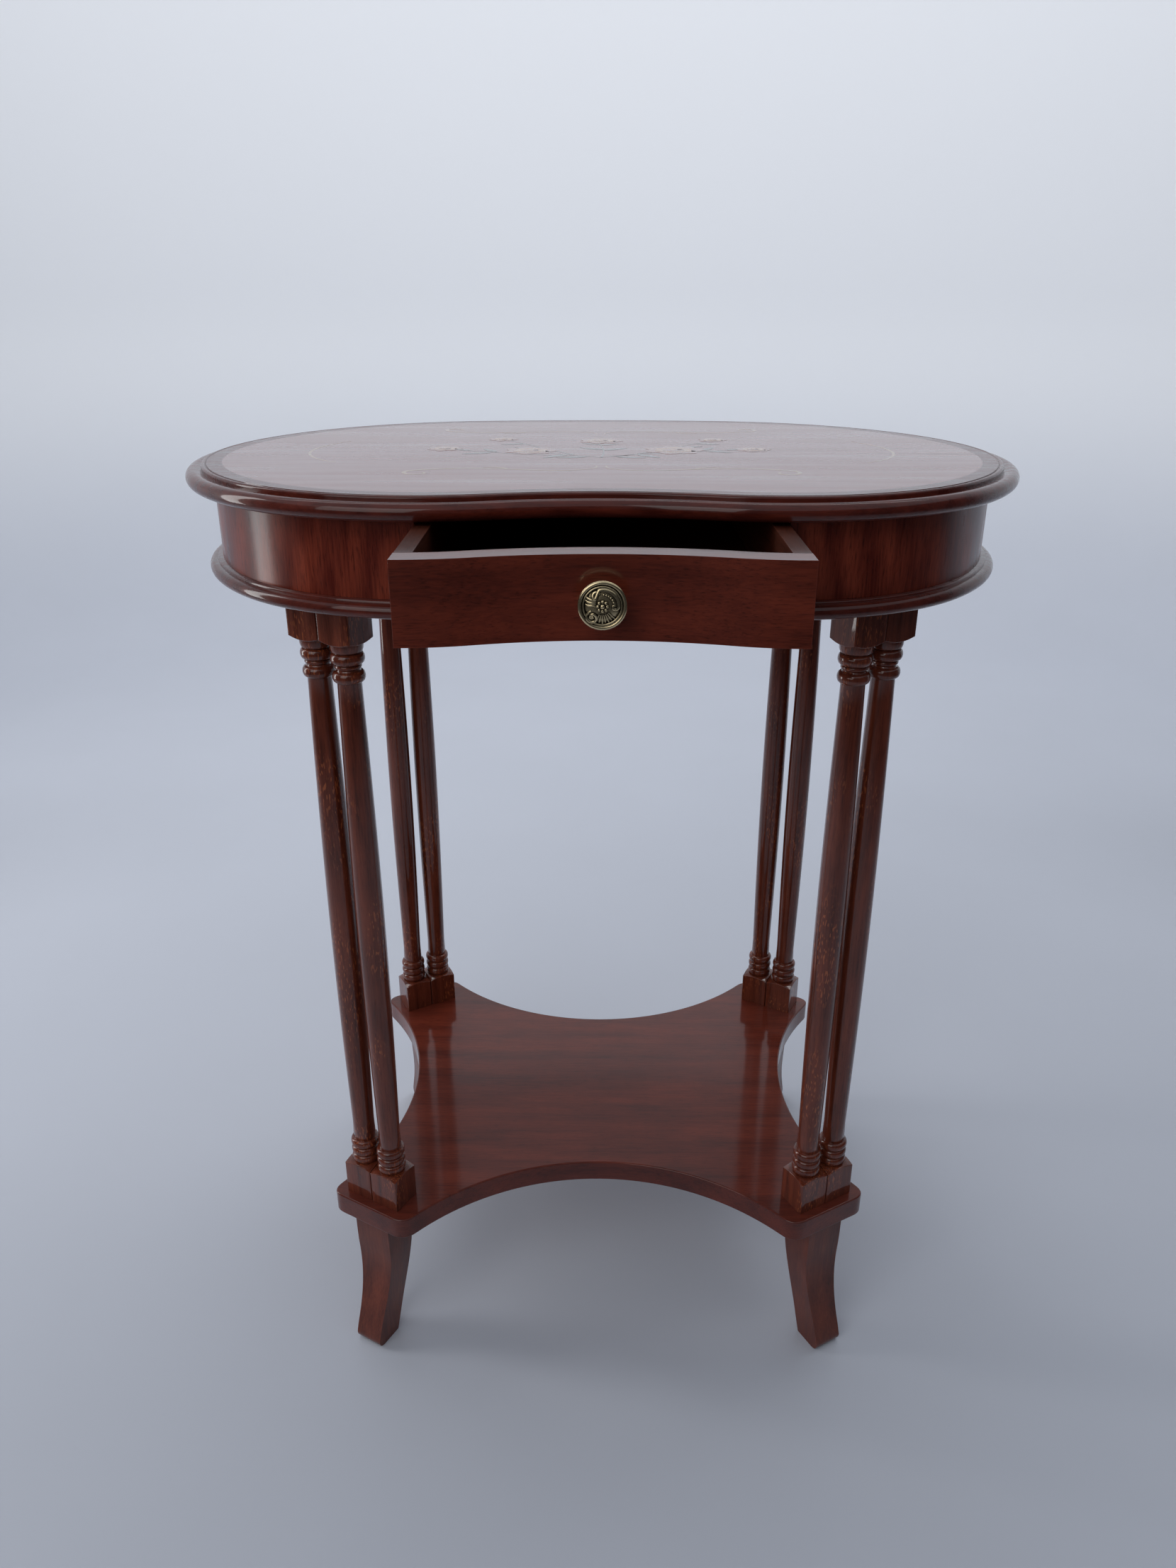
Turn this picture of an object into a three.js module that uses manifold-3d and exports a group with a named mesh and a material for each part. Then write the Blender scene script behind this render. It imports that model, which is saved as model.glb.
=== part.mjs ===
// Kidney-shaped side table with one drawer, standing on eight turned columns
// over a shelf with hollowed sides and four sabre legs. Millimetres, +Z up.
//
// The carcass is centred on x = 0. Its own plan centre, midway between the four
// column pairs, is the point that every plan size below is measured from. The
// whole group is then moved so that the origin is on the floor, under the middle
// of the table's box with the drawer drawn out by DRAWER_OPEN.

import * as THREE from 'three';
import { ParametricGeometry } from 'three/addons/geometries/ParametricGeometry.js';
import { mergeVertices } from 'three/addons/utils/BufferGeometryUtils.js';
import Module from 'manifold-3d';

const wasm = await Module();
wasm.setup();

// ---------------------------------------------------------------- sizes

// Heights
const TABLE_HEIGHT = 796;
const TOP_THICKNESS = 16.5;
const APRON_HEIGHT = 54.5;
const BASE_BOARD_THICKNESS = 12;
const SHELF_TOP_HEIGHT = 156.8;
const SHELF_THICKNESS = 21;

// Plan of the veneered field of the top: a hollow front between two lobes,
// round ends and a slightly bowed back.
const LOBE_SPREAD = 122.9;          // lobe centre from the middle
const LOBE_SETBACK = 32;            // lobe centre in front of the plan centre
const LOBE_RADIUS = 178.6;
const END_SPREAD = 88;              // end arc's centre from the middle
const FRONT_DEPTH = 194.2;          // plan centre to the hollow of the front
const BACK_DEPTH = 231.2;           // plan centre to the middle of the back

// How far each course stands out from that field's edge
const TOP_OVERHANG = 16;
const APRON_SETBACK = 4.5;
const BASE_OVERHANG = 6;
const EDGE_BAND_WIDTH = 12;         // moulded band, inwards from the field's edge
const EDGE_BEAD_WIDTH = 3.8;        // bead beside the field
const EDGE_BEAD_DROP = 4;
const EDGE_BEAD_CROWN = 0.6;        // flat crown of the bead, inwards from its foot
const EDGE_BEAD_CHAMFER = 1.4;
const EDGE_ARRIS = 1;               // flats above and below the rounded nose
const EDGE_NOSE_DEPTH = 10;         // nose's tip back to the end of its underside
const APRON_THICKNESS = 16;
const BASE_LAP = 4;                 // base moulding's reach behind the apron's inner face
const BASE_STEP = 4;                // fillet in front of the apron's face
const BASE_STEP_DROP = 1.6;
const BASE_STEP_SLOPE = 0.6;

// Columns
const PAIR_BEARING = THREE.MathUtils.degToRad(54.3);    // from the end arc's centre
const PAIR_INSET = 35.7;            // field's edge back to the middle of a pair
const PAIR_ANGLE = THREE.MathUtils.degToRad(29.3);
const BLOCK_SIZE = 28.6;
const BLOCK_GAP = 0.5;
const LOWER_BLOCK_HEIGHT = 31.8;
const UPPER_BLOCK_HEIGHT = 28;
const SHOULDER_HEIGHT = 3;
const SHAFT_END_RADIUS = 9.1;
const SHAFT_SWELL = 2.4;            // extra radius at the middle of the shaft
const BEAD_INSET = 1.7;             // block's face back to the beads
const SHOULDER_SPREAD = 1;          // dome of the shoulder beyond the block's faces
const FOOT_BEAD_HEIGHT = 8.2;
const CAP_TURNING_HEIGHT = 30;
const CAP_BEAD_HEIGHT = 8.5;
const CAP_RING_HEIGHT = 3;
const CAP_RING_STAND = 1.1;         // ring's radius beyond the shaft's end
const TENON = 5;                    // turning let into each block's outer end

// Shelf
const SHELF_FRONT_HOLLOW = 79.3;    // depth of the front and back hollows
const SHELF_SIDE_HOLLOW = 56.9;     // depth of the side hollows
const SHELF_CORNER_MARGIN = 8.7;    // blocks' outer faces to the clipped corner's face
const SHELF_CORNER_WIDTH = 84;
const SHELF_CORNER_ROUND = 14;

// Sabre legs: one outline in the plane of the splay, as [outward, height]
const LEG_TOE_REACH = 37;
const LEG_HEEL_REACH = 10;
const LEG_WAIST_REACH = 17;
const LEG_TOP_REACH = 18;
const LEG_TOP_BACK = -18;
const LEG_TOE_ROUND = 8;
const LEG_WIDTH = 37;               // at the top
const LEG_TOE_WIDTH = 27;
const LEG_TAPER_START = 0.15;       // where it begins to widen, as a share of the height
const LEG_TAPER_END = 0.81;

// Drawer
const DRAWER_WIDTH = 246;
const DRAWER_DEPTH = 365;           // front's lobes to the back end of the sides
const DRAWER_OPEN = 114;
const DRAWER_FRONT_THICKNESS = 19;
const DRAWER_SIDE_THICKNESS = 11.5;
const DRAWER_BACK_THICKNESS = 10;
const DRAWER_BACK_DROP = 8;         // back's top edge below the sides' top edge
const DRAWER_BOTTOM_THICKNESS = 4;
const DRAWER_BOTTOM_RAISE = 6;
const GROOVE_DEPTH = 5;
const DRAWER_SIDE_PLAY = 1.5;
const DRAWER_LIFT = 0.6;            // daylight under the drawer
const DRAWER_TOP_PLAY = 1.5;

// Knob
const KNOB_DIAMETER = 30.5;
const KNOB_FACE_THICKNESS = 6;
const KNOB_REACH = 20;              // drawer front to the crown of the knob
const KNOB_STEM_RADIUS = 5.5;
const KNOB_SEAT = 0.6;              // the hollow front curves up to the knob's rim
const KNOB_SCREW_RADIUS = 2;
const KNOB_SCREW_HEAD_RADIUS = 4.2;
const KNOB_BASE_SPREAD = 2;         // foot of the stem beyond the stem
const KNOB_BASE_HEIGHT = 1.4;
const KNOB_SIDES = 20;

// Inner joinery
const GUIDE_WIDTH = 14;
const GUIDE_HEIGHT = 18;
const GUIDE_SHORTFALL = 45;         // drawer's depth less the guide's length
const GUIDE_SETBACK = 3.2;          // apron's inner face to the guide's front end
const STOP_SIZE = 22;
const STOP_HEIGHT = 14;
const FIXING_BLOCK_SIZE = 34;
const FIXING_BLOCK_HEIGHT = 20;
const FIXING_SPACE = 9.5;           // drawer guide to a fixing block
const FIXING_SETBACK = 9.5;         // apron's inner face to a block's middle
const SCREW_RADIUS = 2.1;
const SCREW_HEAD_RADIUS = 4.2;
const SCREW_HEAD_HEIGHT = 2.6;
const CAP_SCREW_LENGTH = 30;
const FOOT_SCREW_LENGTH = 40;
const FOOT_SCREW_SPACE = 1.8;       // leg's side to a foot screw's head
const FIXING_SCREW_LENGTH = 30;
const LEG_BOLT_RADIUS = 4;
const LEG_BOLT_LENGTH = 44;
const LEG_BOLT_DEPTH = 15.75;       // into the shelf

// Fit between neighbours
const GAP = 0.3;
const BORE_CLEARANCE = 0.3;

// Fineness of the facets
const ARC_STEP = 30;                // longest chord on the kidney's arcs
const TURNED_SIDES = 10;
const SCREW_SIDES = 8;

// ---------------------------------------------------------------- derived

const topUnderside = TABLE_HEIGHT - TOP_THICKNESS;
const apronBottom = topUnderside - APRON_HEIGHT;
const baseBottom = apronBottom - BASE_BOARD_THICKNESS;
const shelfUnderside = SHELF_TOP_HEIGHT - SHELF_THICKNESS;
const blockPitch = BLOCK_SIZE + BLOCK_GAP;
const beadRadius = BLOCK_SIZE / 2 - BEAD_INSET;
const drawerHeight = APRON_HEIGHT - DRAWER_LIFT - DRAWER_TOP_PLAY;
const openingHalf = DRAWER_WIDTH / 2 + DRAWER_SIDE_PLAY;
const guideLength = DRAWER_DEPTH - GUIDE_SHORTFALL;
const fixingX = openingHalf + GUIDE_WIDTH + FIXING_SPACE + FIXING_BLOCK_SIZE / 2;
const footScrewSpread = LEG_WIDTH / 2 + FOOT_SCREW_SPACE + SCREW_HEAD_RADIUS;

// ---------------------------------------------------------------- materials

const finish = (color, roughness, metalness = 0) => ({ color, roughness, metalness });
const MAHOGANY = finish(0x5a2318, 0.25);
const DARK_MOULDING = finish(0x35140f, 0.2);
const STAINED_BEECH = finish(0x4a1c12, 0.28);
const VENEER = finish(0x6b2a1c, 0.25);
const DRAWER_LINING = finish(0x8a6a50, 0.6);
const ANTIQUE_BRASS = finish(0x8c7440, 0.35, 1);
const STEEL = finish(0x8a8a88, 0.4, 1);

// ---------------------------------------------------------------- solids

// A geometry as a closed mesh with its shared corners merged.
function merged(geometry) {
  const plain = geometry.clone();
  plain.deleteAttribute('normal');
  plain.deleteAttribute('uv');
  return mergeVertices(plain, 1e-4);
}

function toSolid(geometry) {
  const plain = merged(geometry);
  return new wasm.Manifold(new wasm.Mesh({
    numProp: 3,
    vertProperties: new Float32Array(plain.attributes.position.array),
    triVerts: new Uint32Array(plain.index.array),
  }));
}

function toGeometry(solid) {
  const mesh = solid.getMesh();
  const geometry = new THREE.BufferGeometry();
  geometry.setAttribute('position', new THREE.BufferAttribute(mesh.vertProperties, 3));
  geometry.setIndex(new THREE.BufferAttribute(mesh.triVerts, 1));
  geometry.computeVertexNormals();
  return geometry;
}

// Cuts every tool, each a geometry, out of a geometry.
function cut(geometry, tools) {
  let solid = toSolid(geometry);
  for (const tool of tools) solid = solid.subtract(toSolid(tool));
  return toGeometry(solid);
}

function keepInside(geometry, tool) {
  return toGeometry(toSolid(geometry).intersect(toSolid(tool)));
}

function join(geometries) {
  const [first, ...others] = geometries.map(toSolid);
  return toGeometry(others.reduce((whole, next) => whole.add(next), first));
}

function box(sizeX, sizeY, sizeZ, x, y, zBottom) {
  return new THREE.BoxGeometry(sizeX, sizeY, sizeZ).translate(x, y, zBottom + sizeZ / 2);
}

// A plan outline raised between two heights.
function board(points, zBottom, zTop) {
  const shape = new THREE.Shape(points);
  const options = { depth: zTop - zBottom, bevelEnabled: false };
  return new THREE.ExtrudeGeometry(shape, options).translate(0, 0, zBottom);
}

// A turning about a vertical axis, from [radius, height] points that start and end on it.
function turned(profile, sides = TURNED_SIDES) {
  const points = profile.map(([radius, height]) => new THREE.Vector2(radius, height));
  return new THREE.LatheGeometry(points, sides).rotateX(Math.PI / 2);
}

function rod(radius, zBottom, zTop, x, y, sides = SCREW_SIDES) {
  const length = zTop - zBottom;
  const cylinder = new THREE.CylinderGeometry(radius, radius, length, sides).rotateX(Math.PI / 2);
  return cylinder.translate(x, y, zBottom + length / 2);
}

// ---------------------------------------------------------------- kidney plan

// The four arcs of the right half, front centre to back centre. side is -1 where
// the outline bends round a centre outside the table.
function kidneyArcs() {
  const lobe = new THREE.Vector2(LOBE_SPREAD, -LOBE_SETBACK);
  const end = new THREE.Vector2(END_SPREAD, 0);
  const endRadius = LOBE_RADIUS + lobe.distanceTo(end);
  const reach = FRONT_DEPTH - LOBE_SETBACK;
  const hollowRadius = (reach ** 2 + LOBE_SPREAD ** 2 - LOBE_RADIUS ** 2)
    / (2 * (LOBE_RADIUS - reach));
  const hollow = new THREE.Vector2(0, -FRONT_DEPTH - hollowRadius);
  const rise = BACK_DEPTH - endRadius;
  const bow = (END_SPREAD ** 2 - rise ** 2) / (2 * rise);
  const back = new THREE.Vector2(0, -bow);
  const toLobe = Math.atan2(lobe.y - hollow.y, lobe.x);
  const lobeToEnd = Math.atan2(lobe.y, lobe.x - end.x);
  const endToBack = Math.atan2(bow, END_SPREAD);
  return [
    { centre: hollow, radius: hollowRadius, from: Math.PI / 2, to: toLobe, side: -1 },
    { centre: lobe, radius: LOBE_RADIUS, from: toLobe - Math.PI, to: lobeToEnd, side: 1 },
    { centre: end, radius: endRadius, from: lobeToEnd, to: endToBack, side: 1 },
    { centre: back, radius: BACK_DEPTH + bow, from: endToBack, to: Math.PI / 2, side: 1 },
  ];
}

// Points round the right half, each with its outward direction, front to back.
const rightHalf = kidneyArcs().flatMap(({ centre, radius, from, to, side }, index, arcs) => {
  const steps = Math.ceil(Math.abs(to - from) * radius / ARC_STEP);
  const last = index === arcs.length - 1;
  return Array.from({ length: last ? steps + 1 : steps }, (_, step) => {
    const angle = from + (to - from) * step / steps;
    const direction = new THREE.Vector2(Math.cos(angle), Math.sin(angle));
    const point = centre.clone().addScaledVector(direction, radius);
    return { point, normal: direction.multiplyScalar(side) };
  });
});

const mirrored = ({ point, normal }) => ({
  point: new THREE.Vector2(-point.x, point.y),
  normal: new THREE.Vector2(-normal.x, normal.y),
});

// The whole outline, counter-clockwise from the middle of the front.
const outline = [...rightHalf, ...rightHalf.slice(1, -1).reverse().map(mirrored)];

function kidney(offset) {
  return outline.map(({ point, normal }) => point.clone().addScaledVector(normal, offset));
}

// The y at which the outline, moved out by an offset, crosses x at the front, or at
// the back.
function crossing(x, offset, atBack = false) {
  const points = rightHalf.map(({ point, normal }) => point.clone().addScaledVector(normal, offset));
  if (atBack) points.reverse();
  const next = points.findIndex((point) => point.x >= x);
  const [before, after] = [points[next - 1], points[next]];
  return THREE.MathUtils.mapLinear(x, before.x, after.x, before.y, after.y);
}

// A band round the whole outline, from [offset, height] points taken clockwise
// from the inner bottom corner.
function ring(profile) {
  const around = (u, v, target) => {
    const [offset, height] = profile[Math.round(u * profile.length) % profile.length];
    const { point, normal } = outline[Math.round(v * outline.length) % outline.length];
    target.set(point.x + normal.x * offset, point.y + normal.y * offset, height);
  };
  return new ParametricGeometry(around, profile.length, outline.length);
}

// A half-round nose as [offset, height] points, from its lower to its upper end.
function nose(reach, zBottom, zTop, steps) {
  const radius = (zTop - zBottom) / 2;
  return Array.from({ length: steps + 1 }, (_, step) => {
    const angle = -Math.PI / 2 + Math.PI * step / steps;
    return [reach - radius + radius * Math.cos(angle), zBottom + radius * (1 + Math.sin(angle))];
  });
}

// ---------------------------------------------------------------- group

const group = new THREE.Group();
const carcass = new THREE.Group();
const drawer = new THREE.Group();
drawer.position.y = -DRAWER_OPEN;
carcass.add(drawer);
group.add(carcass);

function addPiece(parent, name, geometry, look) {
  const mesh = new THREE.Mesh(merged(geometry), new THREE.MeshStandardMaterial(look));
  mesh.name = name;
  parent.add(mesh);
  return mesh;
}

// ---------------------------------------------------------------- top

const bandInner = -EDGE_BAND_WIDTH;
const bandBead = [EDGE_BEAD_WIDTH, TABLE_HEIGHT - EDGE_BEAD_DROP];     // foot of the bead

addPiece(carcass, 'top_edge_moulding', ring([
  [bandInner, topUnderside],
  [bandInner, TABLE_HEIGHT],
  [0, TABLE_HEIGHT],
  [EDGE_BEAD_WIDTH - EDGE_BEAD_CROWN, TABLE_HEIGHT - EDGE_BEAD_CHAMFER],
  bandBead,
  ...nose(TOP_OVERHANG, topUnderside + EDGE_ARRIS, bandBead[1] + EDGE_ARRIS, 5).reverse(),
  [TOP_OVERHANG - EDGE_NOSE_DEPTH, topUnderside],
]), DARK_MOULDING);

// Blocks glued inside the apron's corners, each screwed up into the top. They are
// trimmed to the apron's inner curve.
const apronInner = -APRON_SETBACK - APRON_THICKNESS;
const fixingBottom = topUnderside - FIXING_BLOCK_HEIGHT;
const fixingFront = crossing(fixingX, apronInner) + FIXING_SETBACK;
const fixingBack = crossing(fixingX, apronInner, true) - FIXING_SETBACK;
const innerPlan = board(kidney(apronInner - GAP), fixingBottom, topUnderside);
const fixings = [-1, 1].flatMap((side) => {
  const end = side < 0 ? 'left' : 'right';
  return [
    { name: `front_${end}`, x: side * fixingX, y: fixingFront },
    { name: `rear_${end}`, x: side * fixingX, y: fixingBack },
  ];
});
const fixingScrew = ({ x, y }, clearance = 0) => rod(
  SCREW_RADIUS + clearance,
  fixingBottom - clearance,
  fixingBottom + FIXING_SCREW_LENGTH + clearance,
  x,
  y,
);
const fixingHoles = fixings.map((fixing) => fixingScrew(fixing, BORE_CLEARANCE));

addPiece(carcass, 'top_panel', cut(
  board(kidney(bandInner), topUnderside, TABLE_HEIGHT),
  fixingHoles,
), VENEER);
fixings.forEach((fixing, index) => {
  const { name, x, y } = fixing;
  const blank = box(FIXING_BLOCK_SIZE, FIXING_BLOCK_SIZE, FIXING_BLOCK_HEIGHT, x, y, fixingBottom);
  const block = cut(keepInside(blank, innerPlan), [fixingHoles[index]]);
  addPiece(carcass, `top_block_${name}`, block, STAINED_BEECH);
  addPiece(carcass, `top_screw_${name}`, fixingScrew(fixing), STEEL);
});

// ---------------------------------------------------------------- apron

const apronRing = ring([
  [apronInner, apronBottom],
  [apronInner, topUnderside],
  [-APRON_SETBACK, topUnderside],
  [-APRON_SETBACK, apronBottom],
]);
const wide = 4 * (END_SPREAD + LOBE_RADIUS);

for (const [name, side] of [['apron_left', -1], ['apron_right', 1]]) {
  const half = box(wide, wide, APRON_HEIGHT, side * (openingHalf + wide / 2), 0, apronBottom);
  addPiece(carcass, name, keepInside(apronRing, half), VENEER);
}
const behind = box(2 * (openingHalf - GAP), wide, APRON_HEIGHT, 0, wide / 2, apronBottom);
addPiece(carcass, 'apron_back', keepInside(apronRing, behind), VENEER);

// ---------------------------------------------------------------- column pairs

// One group per pair. Inside it x runs along the pair and -y points outwards.
const pairReach = kidneyArcs()[2].radius - PAIR_INSET;
const pairX = END_SPREAD + pairReach * Math.cos(PAIR_BEARING);
const pairY = pairReach * Math.sin(PAIR_BEARING);
const pairs = [
  { name: 'front_left', x: -pairX, y: -pairY, turn: -PAIR_ANGLE, inner: 1 },
  { name: 'front_right', x: pairX, y: -pairY, turn: PAIR_ANGLE, inner: -1 },
  { name: 'rear_left', x: -pairX, y: pairY, turn: Math.PI + PAIR_ANGLE, inner: -1 },
  { name: 'rear_right', x: pairX, y: pairY, turn: Math.PI - PAIR_ANGLE, inner: 1 },
].map((pair) => {
  const place = new THREE.Group();
  place.position.set(pair.x, pair.y, 0);
  place.rotation.z = pair.turn;
  place.updateMatrix();
  carcass.add(place);
  return { ...pair, place };
});

// The same small pieces at every pair, in the carcass's own frame.
const atEveryPair = (pieces) => pairs.flatMap(({ place }) => (
  pieces.map((piece) => piece.clone().applyMatrix4(place.matrix))
));
const bothSides = (make) => [-1, 1].map(make);

// ---------------------------------------------------------------- screws and bolts

function screw(headHeight, tipHeight, x, y, clearance = 0) {
  const up = Math.sign(tipHeight - headHeight);
  const headEnd = headHeight + up * (SCREW_HEAD_HEIGHT + clearance);
  const tip = tipHeight + up * clearance;
  const span = (a, b, radius) => rod(radius + clearance, Math.min(a, b), Math.max(a, b), x, y);
  return join([span(headHeight, headEnd, SCREW_HEAD_RADIUS), span(headHeight, tip, SCREW_RADIUS)]);
}

// Down through the base board into the cap of each column.
const capScrew = (side, clearance = 0) => (
  screw(apronBottom, apronBottom - CAP_SCREW_LENGTH, side * blockPitch / 2, 0, clearance)
);

// Up through the shelf into the foot of each column, either side of the leg.
const footScrew = (side, clearance = 0) => (
  screw(shelfUnderside, shelfUnderside + FOOT_SCREW_LENGTH, side * footScrewSpread, 0, clearance)
);

const legMiddle = -(LEG_TOP_REACH + LEG_TOP_BACK) / 2;
const boltTop = shelfUnderside + LEG_BOLT_DEPTH;
const legBolt = (clearance = 0) => rod(
  LEG_BOLT_RADIUS + clearance,
  boltTop - LEG_BOLT_LENGTH - clearance,
  boltTop + clearance,
  0,
  legMiddle,
);

// ---------------------------------------------------------------- base board

const baseBandInner = apronInner - BASE_LAP;
const baseStep = -APRON_SETBACK + BASE_STEP;

addPiece(carcass, 'base_board', cut(
  board(kidney(baseBandInner), baseBottom, apronBottom),
  atEveryPair(bothSides((side) => capScrew(side, BORE_CLEARANCE))),
), MAHOGANY);
addPiece(carcass, 'base_edge_moulding', ring([
  [baseBandInner, baseBottom],
  [baseBandInner, apronBottom],
  [baseStep, apronBottom],
  [baseStep + BASE_STEP_SLOPE, apronBottom - BASE_STEP_DROP],
  ...nose(BASE_OVERHANG, baseBottom, apronBottom - BASE_STEP_DROP, 4).reverse(),
]), DARK_MOULDING);

// ---------------------------------------------------------------- columns

// A round bead on a turning, as [radius, height] points upwards from zBottom.
function bead(radius, zBottom, height, steps = 3) {
  const undercut = 0.3 * height;
  return Array.from({ length: steps + 1 }, (_, step) => {
    const swell = Math.sin(Math.PI * step / steps);
    return [radius - (1 - swell) * undercut, zBottom + height * step / steps];
  });
}

const blockTop = SHELF_TOP_HEIGHT + LOWER_BLOCK_HEIGHT;
const capBottom = baseBottom - UPPER_BLOCK_HEIGHT;
const shaftBottom = blockTop + SHOULDER_HEIGHT + 3 * FOOT_BEAD_HEIGHT;
const shaftTop = capBottom - SHOULDER_HEIGHT - CAP_TURNING_HEIGHT;

function columnProfile() {
  const shaftSteps = 6;
  const shaft = Array.from({ length: shaftSteps + 1 }, (_, step) => {
    const share = step / shaftSteps;
    const radius = SHAFT_END_RADIUS + SHAFT_SWELL * Math.sin(Math.PI * share);
    return [radius, THREE.MathUtils.lerp(shaftBottom, shaftTop, share)];
  });
  const lowerBead = shaftTop + 0.5;
  const ring = lowerBead + CAP_BEAD_HEIGHT + 2.5;
  const upperBead = ring + CAP_RING_HEIGHT;
  const collar = upperBead + CAP_BEAD_HEIGHT + 0.5;
  const footBeads = [0, 1, 2].flatMap((course) => (
    bead(beadRadius, blockTop + SHOULDER_HEIGHT + course * FOOT_BEAD_HEIGHT, FOOT_BEAD_HEIGHT, 2)
      .slice(0, 2)
  ));
  return [
    [0, SHELF_TOP_HEIGHT + TENON],
    [beadRadius - 2, SHELF_TOP_HEIGHT + TENON],
    ...footBeads,
    ...shaft,
    ...bead(beadRadius, lowerBead, CAP_BEAD_HEIGHT),
    [SHAFT_END_RADIUS, ring - 1],
    ...bead(SHAFT_END_RADIUS + CAP_RING_STAND, ring, CAP_RING_HEIGHT, 2),
    ...bead(beadRadius, upperBead, CAP_BEAD_HEIGHT),
    [beadRadius - 0.6, collar],
    [beadRadius, shaftTop + CAP_TURNING_HEIGHT],
    [beadRadius, baseBottom - TENON],
    [0, baseBottom - TENON],
  ];
}

// A square block whose end is turned down to a rounded shoulder. up is 1 where
// the shoulder is at the upper end, and -1 where it is at the lower end.
function shoulderedBlock(zFlat, height, up) {
  const halfDiagonal = BLOCK_SIZE * Math.SQRT1_2;
  const zShoulder = zFlat + up * height;
  const zEnd = zShoulder + up * SHOULDER_HEIGHT;
  const dome = [
    [0, zFlat],
    [halfDiagonal + 2 * SHOULDER_SPREAD, zFlat],
    [halfDiagonal + SHOULDER_SPREAD / 10, zShoulder],
    [BLOCK_SIZE / 2 + SHOULDER_SPREAD, zShoulder + up * SHOULDER_HEIGHT * 0.8],
    [beadRadius, zEnd],
    [0, zEnd],
  ];
  if (up < 0) dome.reverse();
  const blank = box(BLOCK_SIZE, BLOCK_SIZE, height + SHOULDER_HEIGHT, 0, 0, Math.min(zFlat, zEnd));
  return keepInside(blank, turned(dome));
}

// side says on which half of its pair the column stands, for the screw holes.
function column(side) {
  const middle = side * blockPitch / 2;
  const whole = join([
    turned(columnProfile()),
    shoulderedBlock(SHELF_TOP_HEIGHT, LOWER_BLOCK_HEIGHT, 1),
    shoulderedBlock(baseBottom, UPPER_BLOCK_HEIGHT, -1),
  ]).translate(middle, 0, 0);
  return cut(whole, [capScrew(side, BORE_CLEARANCE), footScrew(side, BORE_CLEARANCE)]);
}

for (const { name, place, inner } of pairs) {
  for (const side of [-1, 1]) {
    const position = side === inner ? 'inner' : 'outer';
    addPiece(place, `column_${name}_${position}`, column(side), STAINED_BEECH);
    addPiece(place, `cap_screw_${name}_${position}`, capScrew(side), STEEL);
    addPiece(place, `foot_screw_${name}_${position}`, footScrew(side), STEEL);
  }
}

// ---------------------------------------------------------------- shelf

// Half of a hollow between two corners, from its middle to its trimmed end. The
// arc's middle is depth inside its end, which is at [end, halfChord].
function hollowEdge(depth, end, halfChord, trim) {
  const waist = end - depth;
  const radius = (halfChord ** 2 + depth ** 2) / (2 * depth);
  const span = Math.asin(halfChord / radius) - trim / radius;
  const steps = 7;
  return Array.from({ length: steps + 1 }, (_, step) => {
    const angle = span * step / steps;
    return new THREE.Vector2(waist + radius * (1 - Math.cos(angle)), radius * Math.sin(angle));
  });
}

function roundedCorner(before, corner, after) {
  return new THREE.QuadraticBezierCurve(before, corner, after).getPoints(4).slice(1, -1);
}

// The quarter between the middle of the right side and the middle of the back.
function shelfQuarter() {
  const pair = new THREE.Vector2(pairX, pairY);
  const away = new THREE.Vector2(Math.sin(PAIR_ANGLE), Math.cos(PAIR_ANGLE));
  const across = new THREE.Vector2(-away.y, away.x);
  const face = pair.clone().addScaledVector(away, BLOCK_SIZE / 2 + SHELF_CORNER_MARGIN);
  const sideEnd = face.clone().addScaledVector(across, -SHELF_CORNER_WIDTH / 2);
  const backEnd = face.clone().addScaledVector(across, SHELF_CORNER_WIDTH / 2);
  const faceStart = sideEnd.clone().addScaledVector(across, SHELF_CORNER_ROUND);
  const faceStop = backEnd.clone().addScaledVector(across, -SHELF_CORNER_ROUND);
  const side = hollowEdge(SHELF_SIDE_HOLLOW, sideEnd.x, sideEnd.y, SHELF_CORNER_ROUND);
  const back = hollowEdge(SHELF_FRONT_HOLLOW, backEnd.y, backEnd.x, SHELF_CORNER_ROUND)
    .map(({ x, y }) => new THREE.Vector2(y, x))
    .reverse();
  return [
    ...side,
    ...roundedCorner(side.at(-1), sideEnd, faceStart),
    faceStart,
    faceStop,
    ...roundedCorner(faceStop, backEnd, back[0]),
    ...back,
  ];
}

const quarter = shelfQuarter();
const flipped = (points, signX, signY) => (
  points.map(({ x, y }) => new THREE.Vector2(signX * x, signY * y))
);
const shelfOutline = [
  ...quarter,
  ...flipped(quarter, -1, 1).reverse().slice(1),
  ...flipped(quarter, -1, -1).slice(1),
  ...flipped(quarter, 1, -1).reverse().slice(1, -1),
];

addPiece(carcass, 'shelf', cut(
  board(shelfOutline, shelfUnderside, SHELF_TOP_HEIGHT),
  atEveryPair([...bothSides((side) => footScrew(side, BORE_CLEARANCE)), legBolt(BORE_CLEARANCE)]),
), MAHOGANY);

// ---------------------------------------------------------------- sabre legs

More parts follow.
